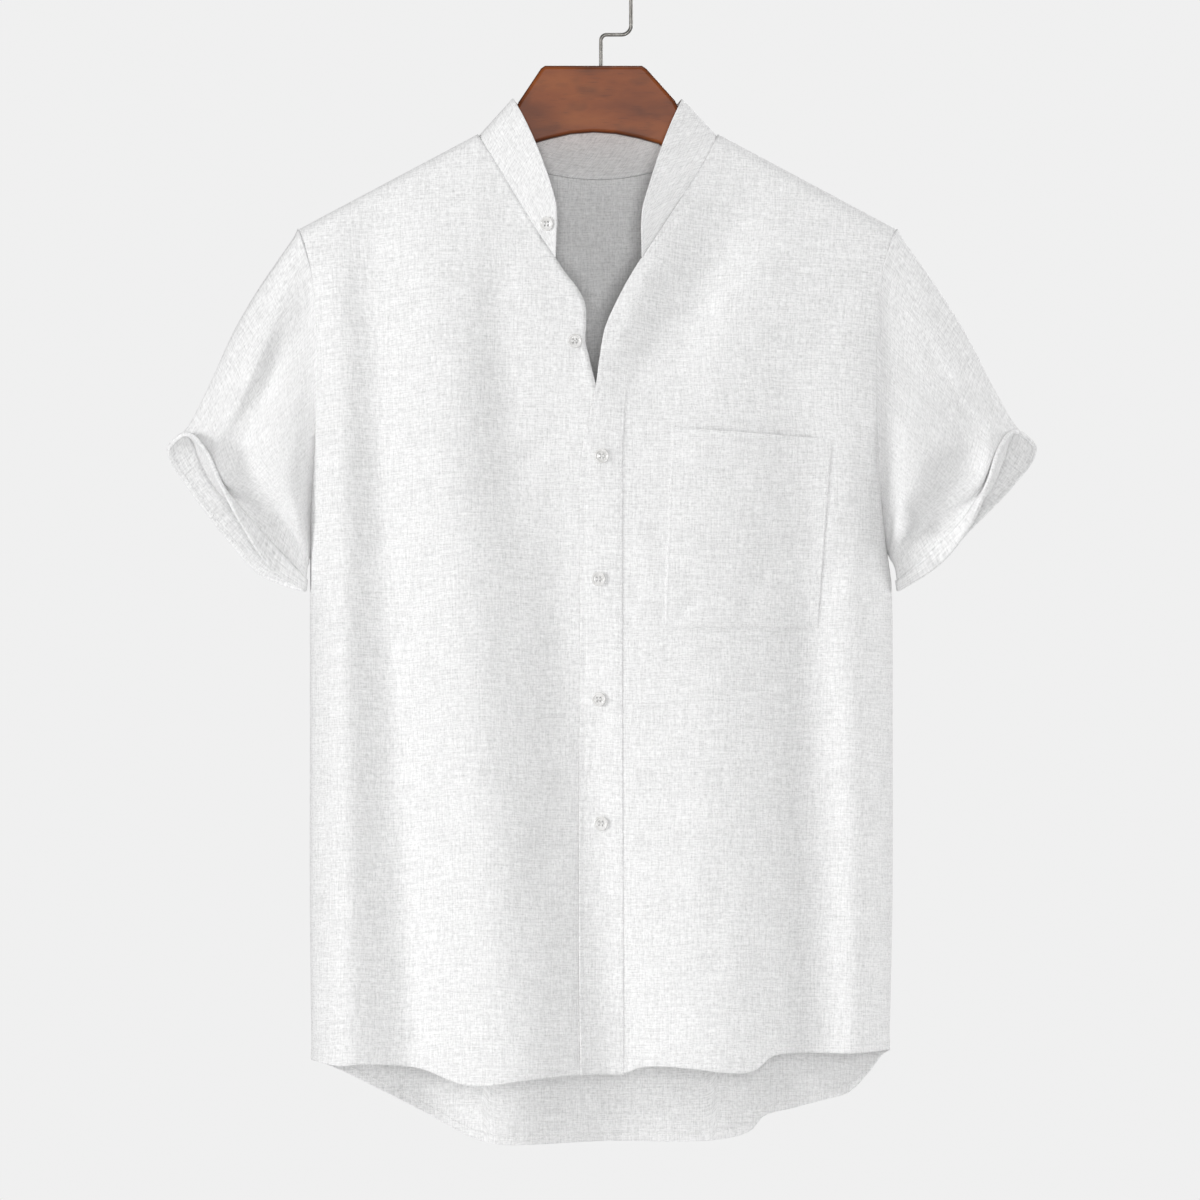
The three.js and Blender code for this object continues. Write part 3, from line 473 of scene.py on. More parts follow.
class Nodes:
    """Short calls for building one material's node tree."""

    def __init__(self, name):
        self.material = bpy.data.materials.new(name)
        self.material.use_nodes = True
        self.tree = self.material.node_tree
        self.shader = self.tree.nodes["Principled BSDF"]

    def add(self, kind, **values):
        node = self.tree.nodes.new(kind)
        for key, value in values.items():
            if key in node.inputs:
                node.inputs[key].default_value = value
            else:
                setattr(node, key, value)
        return node

    def link(self, source, target):
        self.tree.links.new(source, target)

    def streaks(self, coordinate, stretch, detail=2.0):
        mapping = self.add("ShaderNodeMapping")
        mapping.inputs["Scale"].default_value = stretch
        self.link(coordinate, mapping.inputs["Vector"])
        noise = self.add("ShaderNodeTexNoise", Scale=1.0, Detail=detail)
        self.link(mapping.outputs["Vector"], noise.inputs["Vector"])
        return noise.outputs["Fac"]

    def ramp(self, value, *stops):
        ramp = self.add("ShaderNodeValToRGB")
        elements = ramp.color_ramp.elements
        while len(elements) < len(stops):
            elements.new(0.5)
        for element, (position, colour) in zip(elements, stops):
            element.position = position
            element.color = (*colour, 1)
        self.link(value, ramp.inputs["Fac"])
        return ramp.outputs["Color"]

    def math(self, operation, *values):
        node = self.add("ShaderNodeMath", operation=operation)
        for value, socket in zip(values, node.inputs):
            self.link(value, socket)
        return node.outputs[0]

    def multiply(self, a, b):
        node = self.add("ShaderNodeMix", data_type="RGBA", blend_type="MULTIPLY")
        node.inputs["Factor"].default_value = 1.0
        self.link(a, node.inputs[6])
        self.link(b, node.inputs[7])
        return node.outputs[2]

    def bump(self, height, strength, distance):
        bump = self.add("ShaderNodeBump", Strength=strength, Distance=distance)
        self.link(height, bump.inputs["Height"])
        self.link(bump.outputs["Normal"], self.shader.inputs["Normal"])

    def object_place(self):
        return self.add("ShaderNodeTexCoord").outputs["Object"]

    def surface(self, colour, **values):
        """Sets the shader's colour and its plain values, and gives the finished material."""
        self.link(colour, self.shader.inputs["Base Color"])
        for name, value in values.items():
            self.shader.inputs[name.replace("_", " ")].default_value = value
        return self.material


def grey(value):
    return (value, value, value)


def linen():
    """White linen: uneven warp and weft threads with darker and lighter slubs."""
    nodes = Nodes("linen_white")
    cloth = nodes.add("ShaderNodeUVMap", uv_map="cloth").outputs["UV"]
    threads = [nodes.streaks(cloth, stretch) for stretch in ((900, 240, 1), (240, 1000, 1))]
    slubs = [nodes.streaks(cloth, stretch, detail=3.0) for stretch in ((700, 40, 1), (38, 700, 1))]
    thread_stops = (0.32, grey(0.84)), (0.52, grey(0.96)), (0.7, grey(1.0))
    slub_stops = (0.36, grey(0.9)), (0.6, grey(1.0))
    weave = nodes.multiply(*(nodes.ramp(strand, *thread_stops) for strand in threads))
    tone = nodes.multiply(*(nodes.ramp(slub, *slub_stops) for slub in slubs))
    nodes.bump(nodes.math("ADD", nodes.math("ADD", *threads), nodes.math("ADD", *slubs)), 0.5, 0.0005)
    return nodes.surface(
        nodes.multiply(weave, tone),
        Roughness=0.9, Specular_IOR_Level=0.2, Sheen_Weight=0.15, Sheen_Roughness=0.5,
    )


def clouded(name, grain, stops, bump, **values):
    """A material whose colour and bump follow one even noise."""
    nodes = Nodes(name)
    cloud = nodes.streaks(nodes.object_place(), (grain, grain, grain))
    nodes.bump(cloud, *bump)
    return nodes.surface(nodes.ramp(cloud, *stops), **values)


def thread():
    """Twisted white sewing thread."""
    stops = (0.35, grey(0.8)), (0.6, grey(0.93))
    return clouded("thread_white", 2500, stops, (0.4, 0.0002), Roughness=0.6)


def resin():
    """White shirt button with faint clouds under a satin face."""
    stops = (0.35, (0.66, 0.655, 0.64)), (0.65, (0.8, 0.795, 0.785))
    gloss = {"Roughness": 0.25, "Coat_Weight": 0.4, "Coat_Roughness": 0.15}
    return clouded("resin_white", 260, stops, (0.1, 0.0003), **gloss)


def wood():
    """Varnished red-brown wood with its grain along the hanger, and painted shade that darkens its
    rounded rim.
    """
    nodes = Nodes("wood_brown")
    within = nodes.object_place()
    grain = nodes.streaks(within, (12, 40, 34), detail=4.0)
    pores = nodes.streaks(within, (90, 900, 900), detail=3.0)
    smear = nodes.streaks(within, (30, 50, 60), detail=2.0)
    dark, middle, light = (0.15, 0.032, 0.004), (0.215, 0.05, 0.007), (0.275, 0.074, 0.013)
    stripes = nodes.ramp(grain, (0.34, dark), (0.5, middle), (0.66, light))
    shade = nodes.ramp(smear, (0.3, grey(0.62)), (0.5, grey(1.0)))
    fleck = nodes.ramp(pores, (0.28, grey(0.8)), (0.42, grey(1.0)))
    # Painted shade: the colour darkens where the surface turns away from the flat faces towards the
    # rounded rim.
    normal = nodes.add("ShaderNodeSeparateXYZ")
    nodes.link(nodes.add("ShaderNodeTexCoord").outputs["Normal"], normal.inputs["Vector"])
    flatness = nodes.math("ABSOLUTE", normal.outputs["Y"])
    edge_painted_shade = nodes.ramp(flatness, (0.45, grey(0.4)), (0.95, grey(1.0)))
    nodes.bump(pores, 0.15, 0.0004)
    return nodes.surface(
        nodes.multiply(nodes.multiply(stripes, shade), nodes.multiply(fleck, edge_painted_shade)),
        Roughness=0.5, Specular_IOR_Level=0.25, Coat_Weight=0.12, Coat_Roughness=0.3,
    )


def wire():
    """Dull nickel wire with fine drawing marks."""
    nodes = Nodes("wire_nickel")
    marks = nodes.streaks(nodes.object_place(), (900, 900, 60))
    roughness = nodes.add("ShaderNodeMapRange")
    roughness.inputs["To Min"].default_value = 0.3
    roughness.inputs["To Max"].default_value = 0.5
    nodes.link(marks, roughness.inputs["Value"])
    nodes.link(roughness.outputs["Result"], nodes.shader.inputs["Roughness"])
    nodes.bump(marks, 0.1, 0.0002)
    colour = nodes.ramp(marks, (0.3, (0.13, 0.125, 0.115)), (0.65, (0.27, 0.26, 0.245)))
    return nodes.surface(colour, Metallic=1.0)


LINEN, THREAD, RESIN, WOOD, WIRE = linen(), thread(), resin(), wood(), wire()


def place(piece, material, node=None):
    """Gives a finished piece its material, its body and the node it stands for."""
    piece.data.materials.clear()
    piece.data.materials.append(material)
    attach(piece, BODY)
    if node:
        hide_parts(node)


# Cloth and thread


def cloth_piece(node, outer, inner, ring=False, coordinates=along_grid):
    """Shows a node as a closed cloth wall between an outer and an inner grid of points."""
    rows, columns = outer.shape[:2]
    index = np.arange(rows * columns).reshape(rows, columns)
    if ring:
        index = np.concatenate([index, index[:, :1]], axis=1)
    inn = index + rows * columns
    quads = [
        (index[:-1, :-1], index[:-1, 1:], index[1:, 1:], index[1:, :-1]),
        (inn[:-1, :-1], inn[1:, :-1], inn[1:, 1:], inn[:-1, 1:]),
        (index[0, :-1], inn[0, :-1], inn[0, 1:], index[0, 1:]),
        (index[-1, :-1], index[-1, 1:], inn[-1, 1:], inn[-1, :-1]),
    ]
    if not ring:
        quads.append((index[:-1, 0], index[1:, 0], inn[1:, 0], inn[:-1, 0]))
        quads.append((index[:-1, -1], inn[:-1, -1], inn[1:, -1], index[1:, -1]))
    faces = np.concatenate([np.stack(corners, -1).reshape(-1, 4) for corners in quads])
    points = np.concatenate([outer.reshape(-1, 3), inner.reshape(-1, 3)])
    a, b, c, d = (points[faces[:, i]] for i in range(4))
    volume = np.sum(a * np.cross(b, c)) + np.sum(a * np.cross(c, d))
    if volume < 0:
        faces = faces[:, ::-1]
    uv = coordinates(outer).reshape(-1, 2)
    wall = mesh_object(node + "_cloth", points, faces.tolist(), np.concatenate([uv, uv]))
    place(wall, LINEN, node)


STITCH_START = 0.5
THREAD_SINK = 0.1
THREAD_LIFT = 0.08
THREAD_WAISTS = (0.22, 0.78)


def value_at(run, values, at):
    return np.array([np.interp(at, run, column) for column in values.T])


def sew(name, lines, pitch=3.0, length=2.1, radius=0.26):
    """One piece of short threads along lines; a line is its points and its outward normals."""
    points, faces = [], []
    for line, normal in lines:
        run = run_along(line)
        for start in np.arange(STITCH_START, run[-1] - length, pitch):
            ends = [value_at(run, line, end) for end in (start, start + length)]
            up = value_at(run, normal, start + length / 2)
            side = unit(np.cross(ends[1] - ends[0], up))
            base = len(points)
            points.extend([end - THREAD_SINK * up for end in ends])
            for t in THREAD_WAISTS:
                centre = lerp(ends[0], ends[1], t) + THREAD_LIFT * up
                points.extend([centre + radius * w for w in (side, up, -side, -up)])
            for k in range(4):
                near, far = base + 2 + k, base + 2 + (k + 1) % 4
                faces.append((base, near, far))
                faces.append((near, near + 4, far + 4, far))
                faces.append((base + 1, far + 4, near + 4))
    place(mesh_object(name, points, faces), THREAD)


# Body panels

NECK_ROWS = 40
ARMHOLE_ROWS = 30
SIDE_ROWS = 95
HEM_ROWS = 14
UNDERARM_ROW = NECK_ROWS + ARMHOLE_ROWS
FRONT_COLUMNS = 97
BACK_COLUMNS = 181
SEAM_DIP = 0.5
SEAM_WIDTH = 2.5
HEM_STRIP = 14.0
HEM_STRIP_SHARE = HEM_STRIP / (SHOULDER_TIP_Z - SIDE_HEM_Z)
ROW_SHARES = np.concatenate([
    BAND_END_SHARE * np.linspace(0, 1, NECK_ROWS + 1)[:-1] ** 2,
    np.linspace(BAND_END_SHARE, UNDERARM_SHARE, ARMHOLE_ROWS + 1)[:-1],
    np.linspace(UNDERARM_SHARE, 1 - HEM_STRIP_SHARE, SIDE_ROWS + 1)[:-1],
    np.linspace(1 - HEM_STRIP_SHARE, 1, HEM_ROWS + 1),
])


def inner_edge_z(share):
    stops = (0, BAND_END_SHARE, UNDERARM_SHARE, 1)
    return np.interp(share, stops, (NECK_POINT_Z, BAND_END_Z, CROSSING_Z, FRONT_HEM_Z))


def hem_share(share):
    return smooth((share - HEM_START_SHARE) / (1 - HEM_START_SHARE))


def groove(distance, inset, width=0.8):
    """The dent along a stitch line, by distance from the cloth's edge."""
    return -STITCH_GROOVE * np.exp(-(((distance - inset) / width) ** 2))


def hem_relief(drop):
    """Rise of the doubled hem and its stitched groove, by distance from the cloth's edge."""
    fold = HEM_RISE * smooth((HEM_WIDTH + HEM_STEP - drop) / HEM_STEP)
    return fold + groove(drop, HEM_WIDTH - HEM_STITCH_INSET, 0.9)


def front_grid(side, edge, depth_y):
    share = ROW_SHARES[:, None]
    t = 1 - np.cos(np.pi / 2 * np.linspace(0, 1, FRONT_COLUMNS))[None, :]
    side_z = lerp(SHOULDER_TIP_Z, SIDE_HEM_Z, share)
    inner_z = inner_edge_z(share)
    x = lerp(side(side_z), edge(inner_z), t)
    pull = front_hem(x) - lerp(SIDE_HEM_Z, FRONT_HEM_Z, t)
    z = lerp(side_z, inner_z, t) + pull * hem_share(share)
    x[:, 0] = side(z[:, 0])
    return points_of(x, depth_y(x, z), z)


def x_at(share, z):
    return lerp(right_side(z), left_side(z), (share + 1) / 2)


def back_top_z(share):
    shoulder = shoulder_z(x_at(share, SHOULDER_TIP_Z))
    return np.where(np.abs(share) <= NECK_HALF_SHARE, back_neck(share), shoulder)


def back_grid():
    t = np.sin(np.pi / 2 * np.linspace(-1, 1, BACK_COLUMNS))[None, :]
    share = np.sign(t) * (1 - (1 - np.abs(t)) ** 1.25)
    rows = ROW_SHARES[:, None]
    pull = back_hem(x_at(share, SIDE_HEM_Z)) - SIDE_HEM_Z
    z = lerp(back_top_z(share), SIDE_HEM_Z, rows) + pull * hem_share(rows)
    x = x_at(share, z)
    return points_of(x, back_y(x, z), z)


def from_hem(grid):
    return np.linalg.norm(grid - grid[-1:], axis=-1)


def with_seams(grid, normals, columns):
    """Lets the cloth dip where a sleeve is sewn on."""
    for column in columns:
        away = np.linalg.norm(grid - grid[:, [column]], axis=-1)
        dip = SEAM_DIP * (1 - smooth(away / SEAM_WIDTH))
        dip[UNDERARM_ROW:] = 0
        grid = grid - normals * dip[..., None]
    return grid


def panel(node, grid, sign, columns, straight):
    """A hemmed panel, with the seam columns that sleeves join and the way in from each."""
    normals = facing(grid_normals(grid), 1, sign)
    inner = grid - normals * CLOTH
    inner[0] = grid[0] - (0, 0, CLOTH)
    for column, inward in columns:
        inner[UNDERARM_ROW:, column] = grid[UNDERARM_ROW:, column] + (inward * CLOTH, 0, 0)
    hemmed = grid + normals * hem_relief(from_hem(grid))[..., None]
    outer = with_seams(hemmed, normals, [column for column, _ in columns])
    cloth_piece(node, outer, inner, coordinates=hanging_threads(straight))
    return normals


def hem_stitching(grid, normals):
    """The hem's stitch line on the outer face, a few millimetres above the edge."""
    height = np.mean(from_hem(grid), axis=1)
    row = int(np.argmin(np.abs(height - (HEM_WIDTH - HEM_STITCH_INSET))))
    return grid[row] + 0.2 * normals[row], normals[row]


right_front = front_grid(right_side, right_edge, right_front_y)
left_front = front_grid(left_side, left_edge, front_y)
back = back_grid()
right_normals = panel("front_right", right_front, -1, [(0, 1)], -1)
left_normals = panel("front_left", left_front, -1, [(0, -1)], -1)
back_normals = panel("back_panel", back, 1, [(0, 1), (-1, -1)], BACK_COLUMNS // 2)


# Collar

COLLAR_THICKNESS = 1.6
COLLAR_OUTWARD = 0.35
COLLAR_BURY = 0.25
COLLAR_EDGE_THINNING = 0.75
COLLAR_EDGE_SHARE = 0.07
COLLAR_SEAM_SHARE = 0.06
COLLAR_CORNER = 9.0
# Stitch line below the collar's top edge: its row of the grid, and from which column to which
COLLAR_STITCHING = (-4, slice(3, -3))


def front_seam(share, edge, depth_y):
    z = lerp(NECK_POINT_Z, BAND_END_Z, share)
    x = edge(z)
    return points_of(x, depth_y(x, z), z)


def back_seam(share):
    z = back_top_z(share)
    x = x_at(share, z)
    return points_of(x, back_y(x, z), z)


def above_seam(rows, share, seam, x_name, z_name):
    """The collar's top edge over a stretch of its seam."""
    x, z, lean = (through(rows, "share", name)(share) for name in (x_name, z_name, "lean"))
    return points_of(x, seam[:, 1] + lean, z)


def fair(line, passes=6):
    """Evens out a line without moving its ends."""
    for _ in range(passes):
        line = line.copy()
        line[1:-1] = 0.5 * line[1:-1] + 0.25 * (line[:-2] + line[2:])
    return line


def collar_grid():
    down = np.linspace(1, 0, 71) ** 0.8
    across = np.linspace(-NECK_HALF_SHARE, NECK_HALF_SHARE, 81)[1:-1]
    right = front_seam(down, right_edge, right_front_y)
    middle = back_seam(across)
    left = front_seam(down[::-1], left_edge, front_y)
    seam = fair(np.concatenate([right, middle, left]), 1)
    top = fair(np.concatenate([
        above_seam(COLLAR_TOP, down, right, "rightX", "rightZ"),
        above_seam(COLLAR_BACK_TOP, across, middle, "x", "z"),
        above_seam(COLLAR_TOP, down[::-1], left, "leftX", "leftZ"),
    ]))
    run = run_along(top)
    from_end = np.minimum(run, run[-1] - run)
    short = np.clip(COLLAR_CORNER - from_end, 0, COLLAR_CORNER)
    height = np.linalg.norm(top - seam, axis=1)
    cut = (COLLAR_CORNER - np.sqrt(COLLAR_CORNER**2 - short**2)) / height
    rows = np.concatenate([[0.0], np.linspace(0.02, 0.97, 26), [0.985, 1.0]])
    reach = rows[:, None, None] * (1 - cut)[None, :, None]
    return seam[None] + (top - seam)[None] * reach


def collar():
    grid = collar_grid()
    normals = grid_normals(grid)
    if normals[5, grid.shape[1] // 2, 1] < 0:
        normals = -normals
    rows = np.linspace(0, 1, grid.shape[0])[:, None, None]
    edge = 1 - COLLAR_EDGE_THINNING * smooth((rows - 1 + COLLAR_EDGE_SHARE) / COLLAR_EDGE_SHARE)
    bury = 1 - smooth(rows / COLLAR_SEAM_SHARE)
    outer = grid + normals * (COLLAR_OUTWARD * edge - COLLAR_BURY * bury)
    inner = grid - normals * (COLLAR_THICKNESS - COLLAR_OUTWARD) * edge * (1 - 0.5 * bury)
    cloth_piece("collar_band", outer, inner)
    faces = ((outer, normals), (inner, -normals))
    sew("collar_stitches", [(face[COLLAR_STITCHING], way[COLLAR_STITCHING]) for face, way in faces])
    return outer, normals


collar_outer, collar_normals = collar()


# Sleeves and cuffs

STATIONS = 128
ARMHOLE_UNDERLAP = 1.2
SLEEVE_LENGTH = 190.0
SLEEVE_ROUND = 210.0
SLEEVE_WAVE_ROUND = 160.0
SLEEVE_WAVE_REACH = 60.0
SLEEVE_FADE = 0.12
SEAM_TUCK = 0.9
SEAM_TUCK_SHARE = 0.035
HOLLOW_SHARE = 0.77
HOLLOW_REACH = 0.085
HOLLOW_DEPTH = 13.0
HOLLOW_AT = 0.4
HOLLOW_ROUND = 0.2


def rails(rings, share):
    """Points at the given shares along smooth rails through the sleeve's four rings."""
    rings = np.stack(rings)
    flat = rings.reshape(len(rings), -1)
    columns = [curve(SLEEVE_SHARES, flat[:, i])(share) for i in range(flat.shape[1])]
    return np.stack(columns, axis=1).reshape(len(share), *rings.shape[1:])


def armhole_ring(at, side):
    """The armhole seam at stations round the sleeve, front then back."""
    z = lerp(SHOULDER_TIP_Z, UNDERARM_Z, np.where(at <= 1, at, 2 - at))
    x = side(z)
    return points_of(x, np.where(at <= 1, front_y(x, z), back_y(x, z)), z)


def stations():
    """Places round a tube: 0 at its top, 1 under the arm, 2 at the top again, front first."""
    turn = np.linspace(0, 2, STATIONS, endpoint=False)
    return turn - 0.055 * np.sin(2 * np.pi * turn)


def round_ring(rows, at, *names):
    """Columns of a sleeve's table at stations round the tube."""
    turns = np.concatenate([rows["at"] - 2, rows["at"], rows["at"] + 2])
    return [curve(turns, np.tile(rows[name], 3))(at) for name in names]


def round_threads(at, along, round_length):
    """Cloth coordinates of a tube, joined under the arm: round the tube and along it."""

    def coordinates(grid):
        turn = np.where(at < 1, at, at - 2) * round_length
        u, v = np.broadcast_arrays(turn[None, :], np.asarray(along)[:, None])
        return np.stack([u, v], axis=-1) * MM

    return coordinates


def front_share(at):
    """1 over the front of a tube, fading to 0 at its top and under the arm."""
    return smooth((at - 0.08) / 0.2) * smooth((0.97 - at) / 0.2)


def sleeve_rings(rows, at, side, sign):
    armhole = armhole_ring(at, side)
    armhole[:, 0] -= sign * ARMHOLE_UNDERLAP
    free = points_of(*round_ring(rows, at, "freeX", "freeY", "freeZ"))
    rim = points_of(*round_ring(rows, at, "rimX", "rimY", "rimZ"))
    shift = points_of(*round_ring(rows, at, "midOut", "midLift"), 0)
    return [armhole, (armhole + free) / 2 + shift, free, rim]


def sleeve(label, rows, side, sign):
    at = stations()
    rings = sleeve_rings(rows, at, side, sign)
    share = np.concatenate([np.linspace(0, 0.06, 8)[:-1], np.linspace(0.06, 1, 84)])
    grid = rails(rings, share)
    normals = facing(grid_normals(grid, ring=True), 0, sign)
    a, b = np.broadcast_arrays(at[None, :], share[:, None])
    waves = soft_waves(a * SLEEVE_WAVE_ROUND, b * SLEEVE_LENGTH, 5 + sign, SLEEVE_WAVE_REACH)
    rise = lens_rise(SLEEVE_CREASES[label], a, b) + waves
    fade = smooth(share / SLEEVE_FADE) * smooth((FREE_EDGE_SHARE + 0.03 - share) / SLEEVE_FADE)
    hollow = np.exp(-(((share[:, None] - HOLLOW_SHARE) / HOLLOW_REACH) ** 2))
    hollow = hollow * np.exp(-(((at - HOLLOW_AT) / HOLLOW_ROUND) ** 2))
    grid = grid + normals * (rise * fade[:, None] - HOLLOW_DEPTH * hollow)[..., None]
    normals = facing(grid_normals(grid, ring=True), 0, sign)
    tuck = SEAM_TUCK * (1 - smooth(share / SEAM_TUCK_SHARE))
    grid = grid - normals * tuck[:, None, None]
    threads = round_threads(at, share * SLEEVE_LENGTH, SLEEVE_ROUND)
    cloth_piece("sleeve_" + label, grid, grid - normals * CLOTH, True, threads)
    return rings


CUFF_GAP = 0.25
CUFF_CLOTH = 1.1
CUFF_WALL = 1.0
CUFF_FLARE = 6.5
CUFF_BACK_FLARE = 0.12
CUFF_ROUND = 165.0
CUFF_ROLL = 1.3
CUFF_INSIDE_SHARE = 0.93
CUFF_ROWS = 22
CUFF_STITCH_ROWS = (2, 19)


def cuff(label, rings, sign):
    """The turned-up cuff: up the outside, round the rim and a little way up the inside."""
    up = rails(rings, np.linspace(FREE_EDGE_SHARE, 1, CUFF_ROWS))
    normal = facing(grid_normals(up, ring=True), 0, sign)
    height = np.linspace(0, 1, CUFF_ROWS)[:, None, None]
    at = stations()
    reach = CUFF_GAP + CUFF_CLOTH
    flare = CUFF_FLARE * (CUFF_BACK_FLARE + (1 - CUFF_BACK_FLARE) * front_share(at))[None, :, None]
    outside = up + normal * (reach + flare * (1 - height) ** 2)
    out = unit(up[-1] - up[-3])
    last = normal[-1]
    turn = np.linspace(0, np.pi, 9)[1:-1, None, None]
    roll = up[-1] + last * (reach * np.cos(turn) - CLOTH * (1 - np.cos(turn)) / 2)
    roll = roll + out * CUFF_ROLL * np.sin(turn)
    under = rails(rings, np.linspace(1, CUFF_INSIDE_SHARE, 6))
    under_normal = facing(grid_normals(under[::-1], ring=True)[::-1], 0, sign)
    inside = under - under_normal * (reach + CLOTH)
    outer = np.concatenate([outside, roll, inside])
    turned_normal = last * np.cos(turn) + out * np.sin(turn)
    normals = np.concatenate([normal, turned_normal, -under_normal])
    step = np.linalg.norm(np.diff(outer, axis=0), axis=-1).mean(axis=1)
    threads = round_threads(at, run_from_start(step, 0), CUFF_ROUND)
    cloth_piece("cuff_" + label, outer, outer - normals * CUFF_WALL, True, threads)
    lines = [
        [np.vstack([ring[row], ring[row][:1]]) for ring in (outer, normals)]
        for row in CUFF_STITCH_ROWS
    ]
    sew("cuff_" + label + "_stitches", lines)


right_rings = sleeve("right", RIGHT_SLEEVE, right_side, -1)
left_rings = sleeve("left", LEFT_SLEEVE, left_side, 1)
cuff("right", right_rings, -1)
cuff("left", left_rings, 1)


# Placket and pocket

LAYER_CLOTH = 1.15
PLACKET_FADE = (-318.0, -372.0)
PLACKET_FADE_WIDTH = 12.0
PLACKET_TOP_Z = -186.0
PLACKET_FOOT_Z = -885.0
PLACKET_STITCH_INSET = 4.0
PLACKET_INSET_ABOVE = 0.5
PLACKET_OUTSET_BELOW = 0.4
PLACKET_ROLL = 0.3
PUCKER_HEIGHT = 0.12
PUCKER_WIDTH = 2.5
POCKET_ROLL = 0.35
POCKET_HEM_GROOVE = 1.3


def layer(node, x, z, depth_y, relief):
    """A layer of folded cloth sewn on over a panel."""
    base = points_of(x, depth_y(x, z), z)
    normals = facing(grid_normals(base), 1, -1)
    inner = base - normals * LAYER_SINK
    outer = base + normals * (LAYER_CLOTH + relief)[..., None]
    cloth_piece(node, outer, inner, coordinates=hanging_threads(0))
    return outer, normals


def edge_roll(distance, radius=0.8):
    """Rounds a layer's folded edge off, by distance from the edge."""
    return -0.7 * (1 - smooth(distance / radius))


def edge_steps(count, near=0.012):
    """Steps from 0 to 1 with a few close to both ends."""
    start = np.array([0, near / 2, near])
    return np.concatenate([start, np.linspace(2 * near, 1 - 2 * near, count), 1 - start[::-1]])


def placket():
    z = np.linspace(PLACKET_TOP_Z, PLACKET_FOOT_Z, 290)[:, None]
    start = left_edge(z) + np.where(z > BAND_END_Z, PLACKET_INSET_ABOVE, -PLACKET_OUTSET_BELOW)
    end = placket_border(z)
    x = lerp(start, end, edge_steps(30)[None, :])
    from_left, from_right = x - start, end - x
    relief = edge_roll(from_left, PLACKET_ROLL) + edge_roll(from_right)
    relief = relief + groove(from_left, PLACKET_STITCH_INSET) + groove(from_right, EDGE_STITCH_INSET)
    pucker = PUCKER_HEIGHT * np.sin(z / 2.1 + 0.8 * np.sin(z / 17))
    pucker = pucker * np.exp(-(((from_right - EDGE_STITCH_INSET) / PUCKER_WIDTH) ** 2))
    plain = smooth((z - PLACKET_FADE[1]) / (PLACKET_FADE[0] - PLACKET_FADE[1]))
    blend = plain * smooth(from_left / PLACKET_FADE_WIDTH)
    relief = (relief + pucker) * (1 - blend) - (LAYER_CLOTH + 0.1) * blend
    outer, normals = layer("placket", x, z + 0 * x, front_y, relief)
    every_row = np.full(len(z), True)
    below_fade = z[:, 0] < PLACKET_FADE[1]
    lines = []
    for distance, inset, sewn in (
        (from_left, PLACKET_STITCH_INSET, every_row),
        (from_right, EDGE_STITCH_INSET, below_fade),
    ):
        column = np.argmin(np.abs(distance - inset), axis=1)
        pick = np.arange(len(column))
        lines.append((outer[pick, column][sewn], normals[pick, column][sewn]))
    sew("placket_stitches", lines)


def pocket():
    across = edge_steps(60)[None, :]
    down = edge_steps(80)[:, None]
    top_and_foot = (
        [lerp(near, far, across) for near, far in zip(*corners)] for corners in (POCKET_TOP, POCKET_FOOT)
    )
    x, z = (lerp(top, foot, down) for top, foot in zip(*top_and_foot))
    stand = POCKET_STAND_OFF * np.sin(np.pi * across) * (1 - down) ** 2
    width = POCKET_TOP[1][0] - POCKET_TOP[0][0]
    height = POCKET_TOP[0][1] - POCKET_FOOT[0][1]
    below = down * height
    above = (1 - down) * height
    sides = np.minimum(across, 1 - across) * width + 0 * down
    ends = np.minimum(down, 1 - down) * height + 0 * across
    relief = np.minimum(edge_roll(sides, POCKET_ROLL), edge_roll(ends))
    relief = relief + groove(sides, EDGE_STITCH_INSET) + groove(above, EDGE_STITCH_INSET)
    relief = relief + groove(below, POCKET_HEM) * POCKET_HEM_GROOVE
    outer, normals = layer("chest_pocket", x, z, lambda a, b: front_y(a, b) - stand, relief)
    side = int(np.argmin(np.abs(across * width - EDGE_STITCH_INSET)))
    low = int(np.argmin(np.abs(above - EDGE_STITCH_INSET)))
    hem = int(np.argmin(np.abs(below - POCKET_HEM)))
    sewn = (
        (slice(low), side), (slice(low), -1 - side), (low, slice(side, -side)), (hem, slice(2, -2)),
    )
    sew("pocket_stitches", [(outer[line], normals[line]) for line in sewn])


placket()
pocket()

back_line, back_way = hem_stitching(back, back_normals)
sew("hem_stitches", [
    hem_stitching(right_front, right_normals),
    hem_stitching(left_front, left_normals),
    (back_line, back_way),
    (back_line - (CLOTH + 0.5) * back_way, -back_way),
])


# Buttons

BUTTON_RADIUS = 5.75
BUTTON_THICKNESS = 2.2
BUTTON_SIDES = 56
BUTTON_LIFT = 0.35
BUTTON_HOLE_RADIUS = 0.75
BUTTON_HOLE_SPREAD = 1.35
BUTTON_HOLE_SIDES = 16
# Height of the thread between two holes over the button's middle plane, at its ends and middle
BUTTON_THREAD_HEIGHTS = (0.55, 0.75, 0.55)


def lathe(profile, sides):
    """A closed body turned about Y from radius and height pairs that start and end on the axis."""
    angle = np.linspace(0, 2 * np.pi, sides, endpoint=False)
    points = [(0, profile[0][1], 0)]
    for radius, height in profile[1:-1]:
        points.extend(zip(radius * np.cos(angle), np.full(sides, height), radius * np.sin(angle)))
    points.append((0, profile[-1][1], 0))
    rings = len(profile) - 2
    faces = []
    for k in range(sides):
        after = (k + 1) % sides
        faces.append((0, 1 + k, 1 + after))
        for ring in range(rings - 1):
            low, high = 1 + ring * sides, 1 + (ring + 1) * sides
            faces.append((low + k, high + k, high + after, low + after))
        top = 1 + (rings - 1) * sides
        faces.append((len(points) - 1, top + after, top + k))
    return points, faces


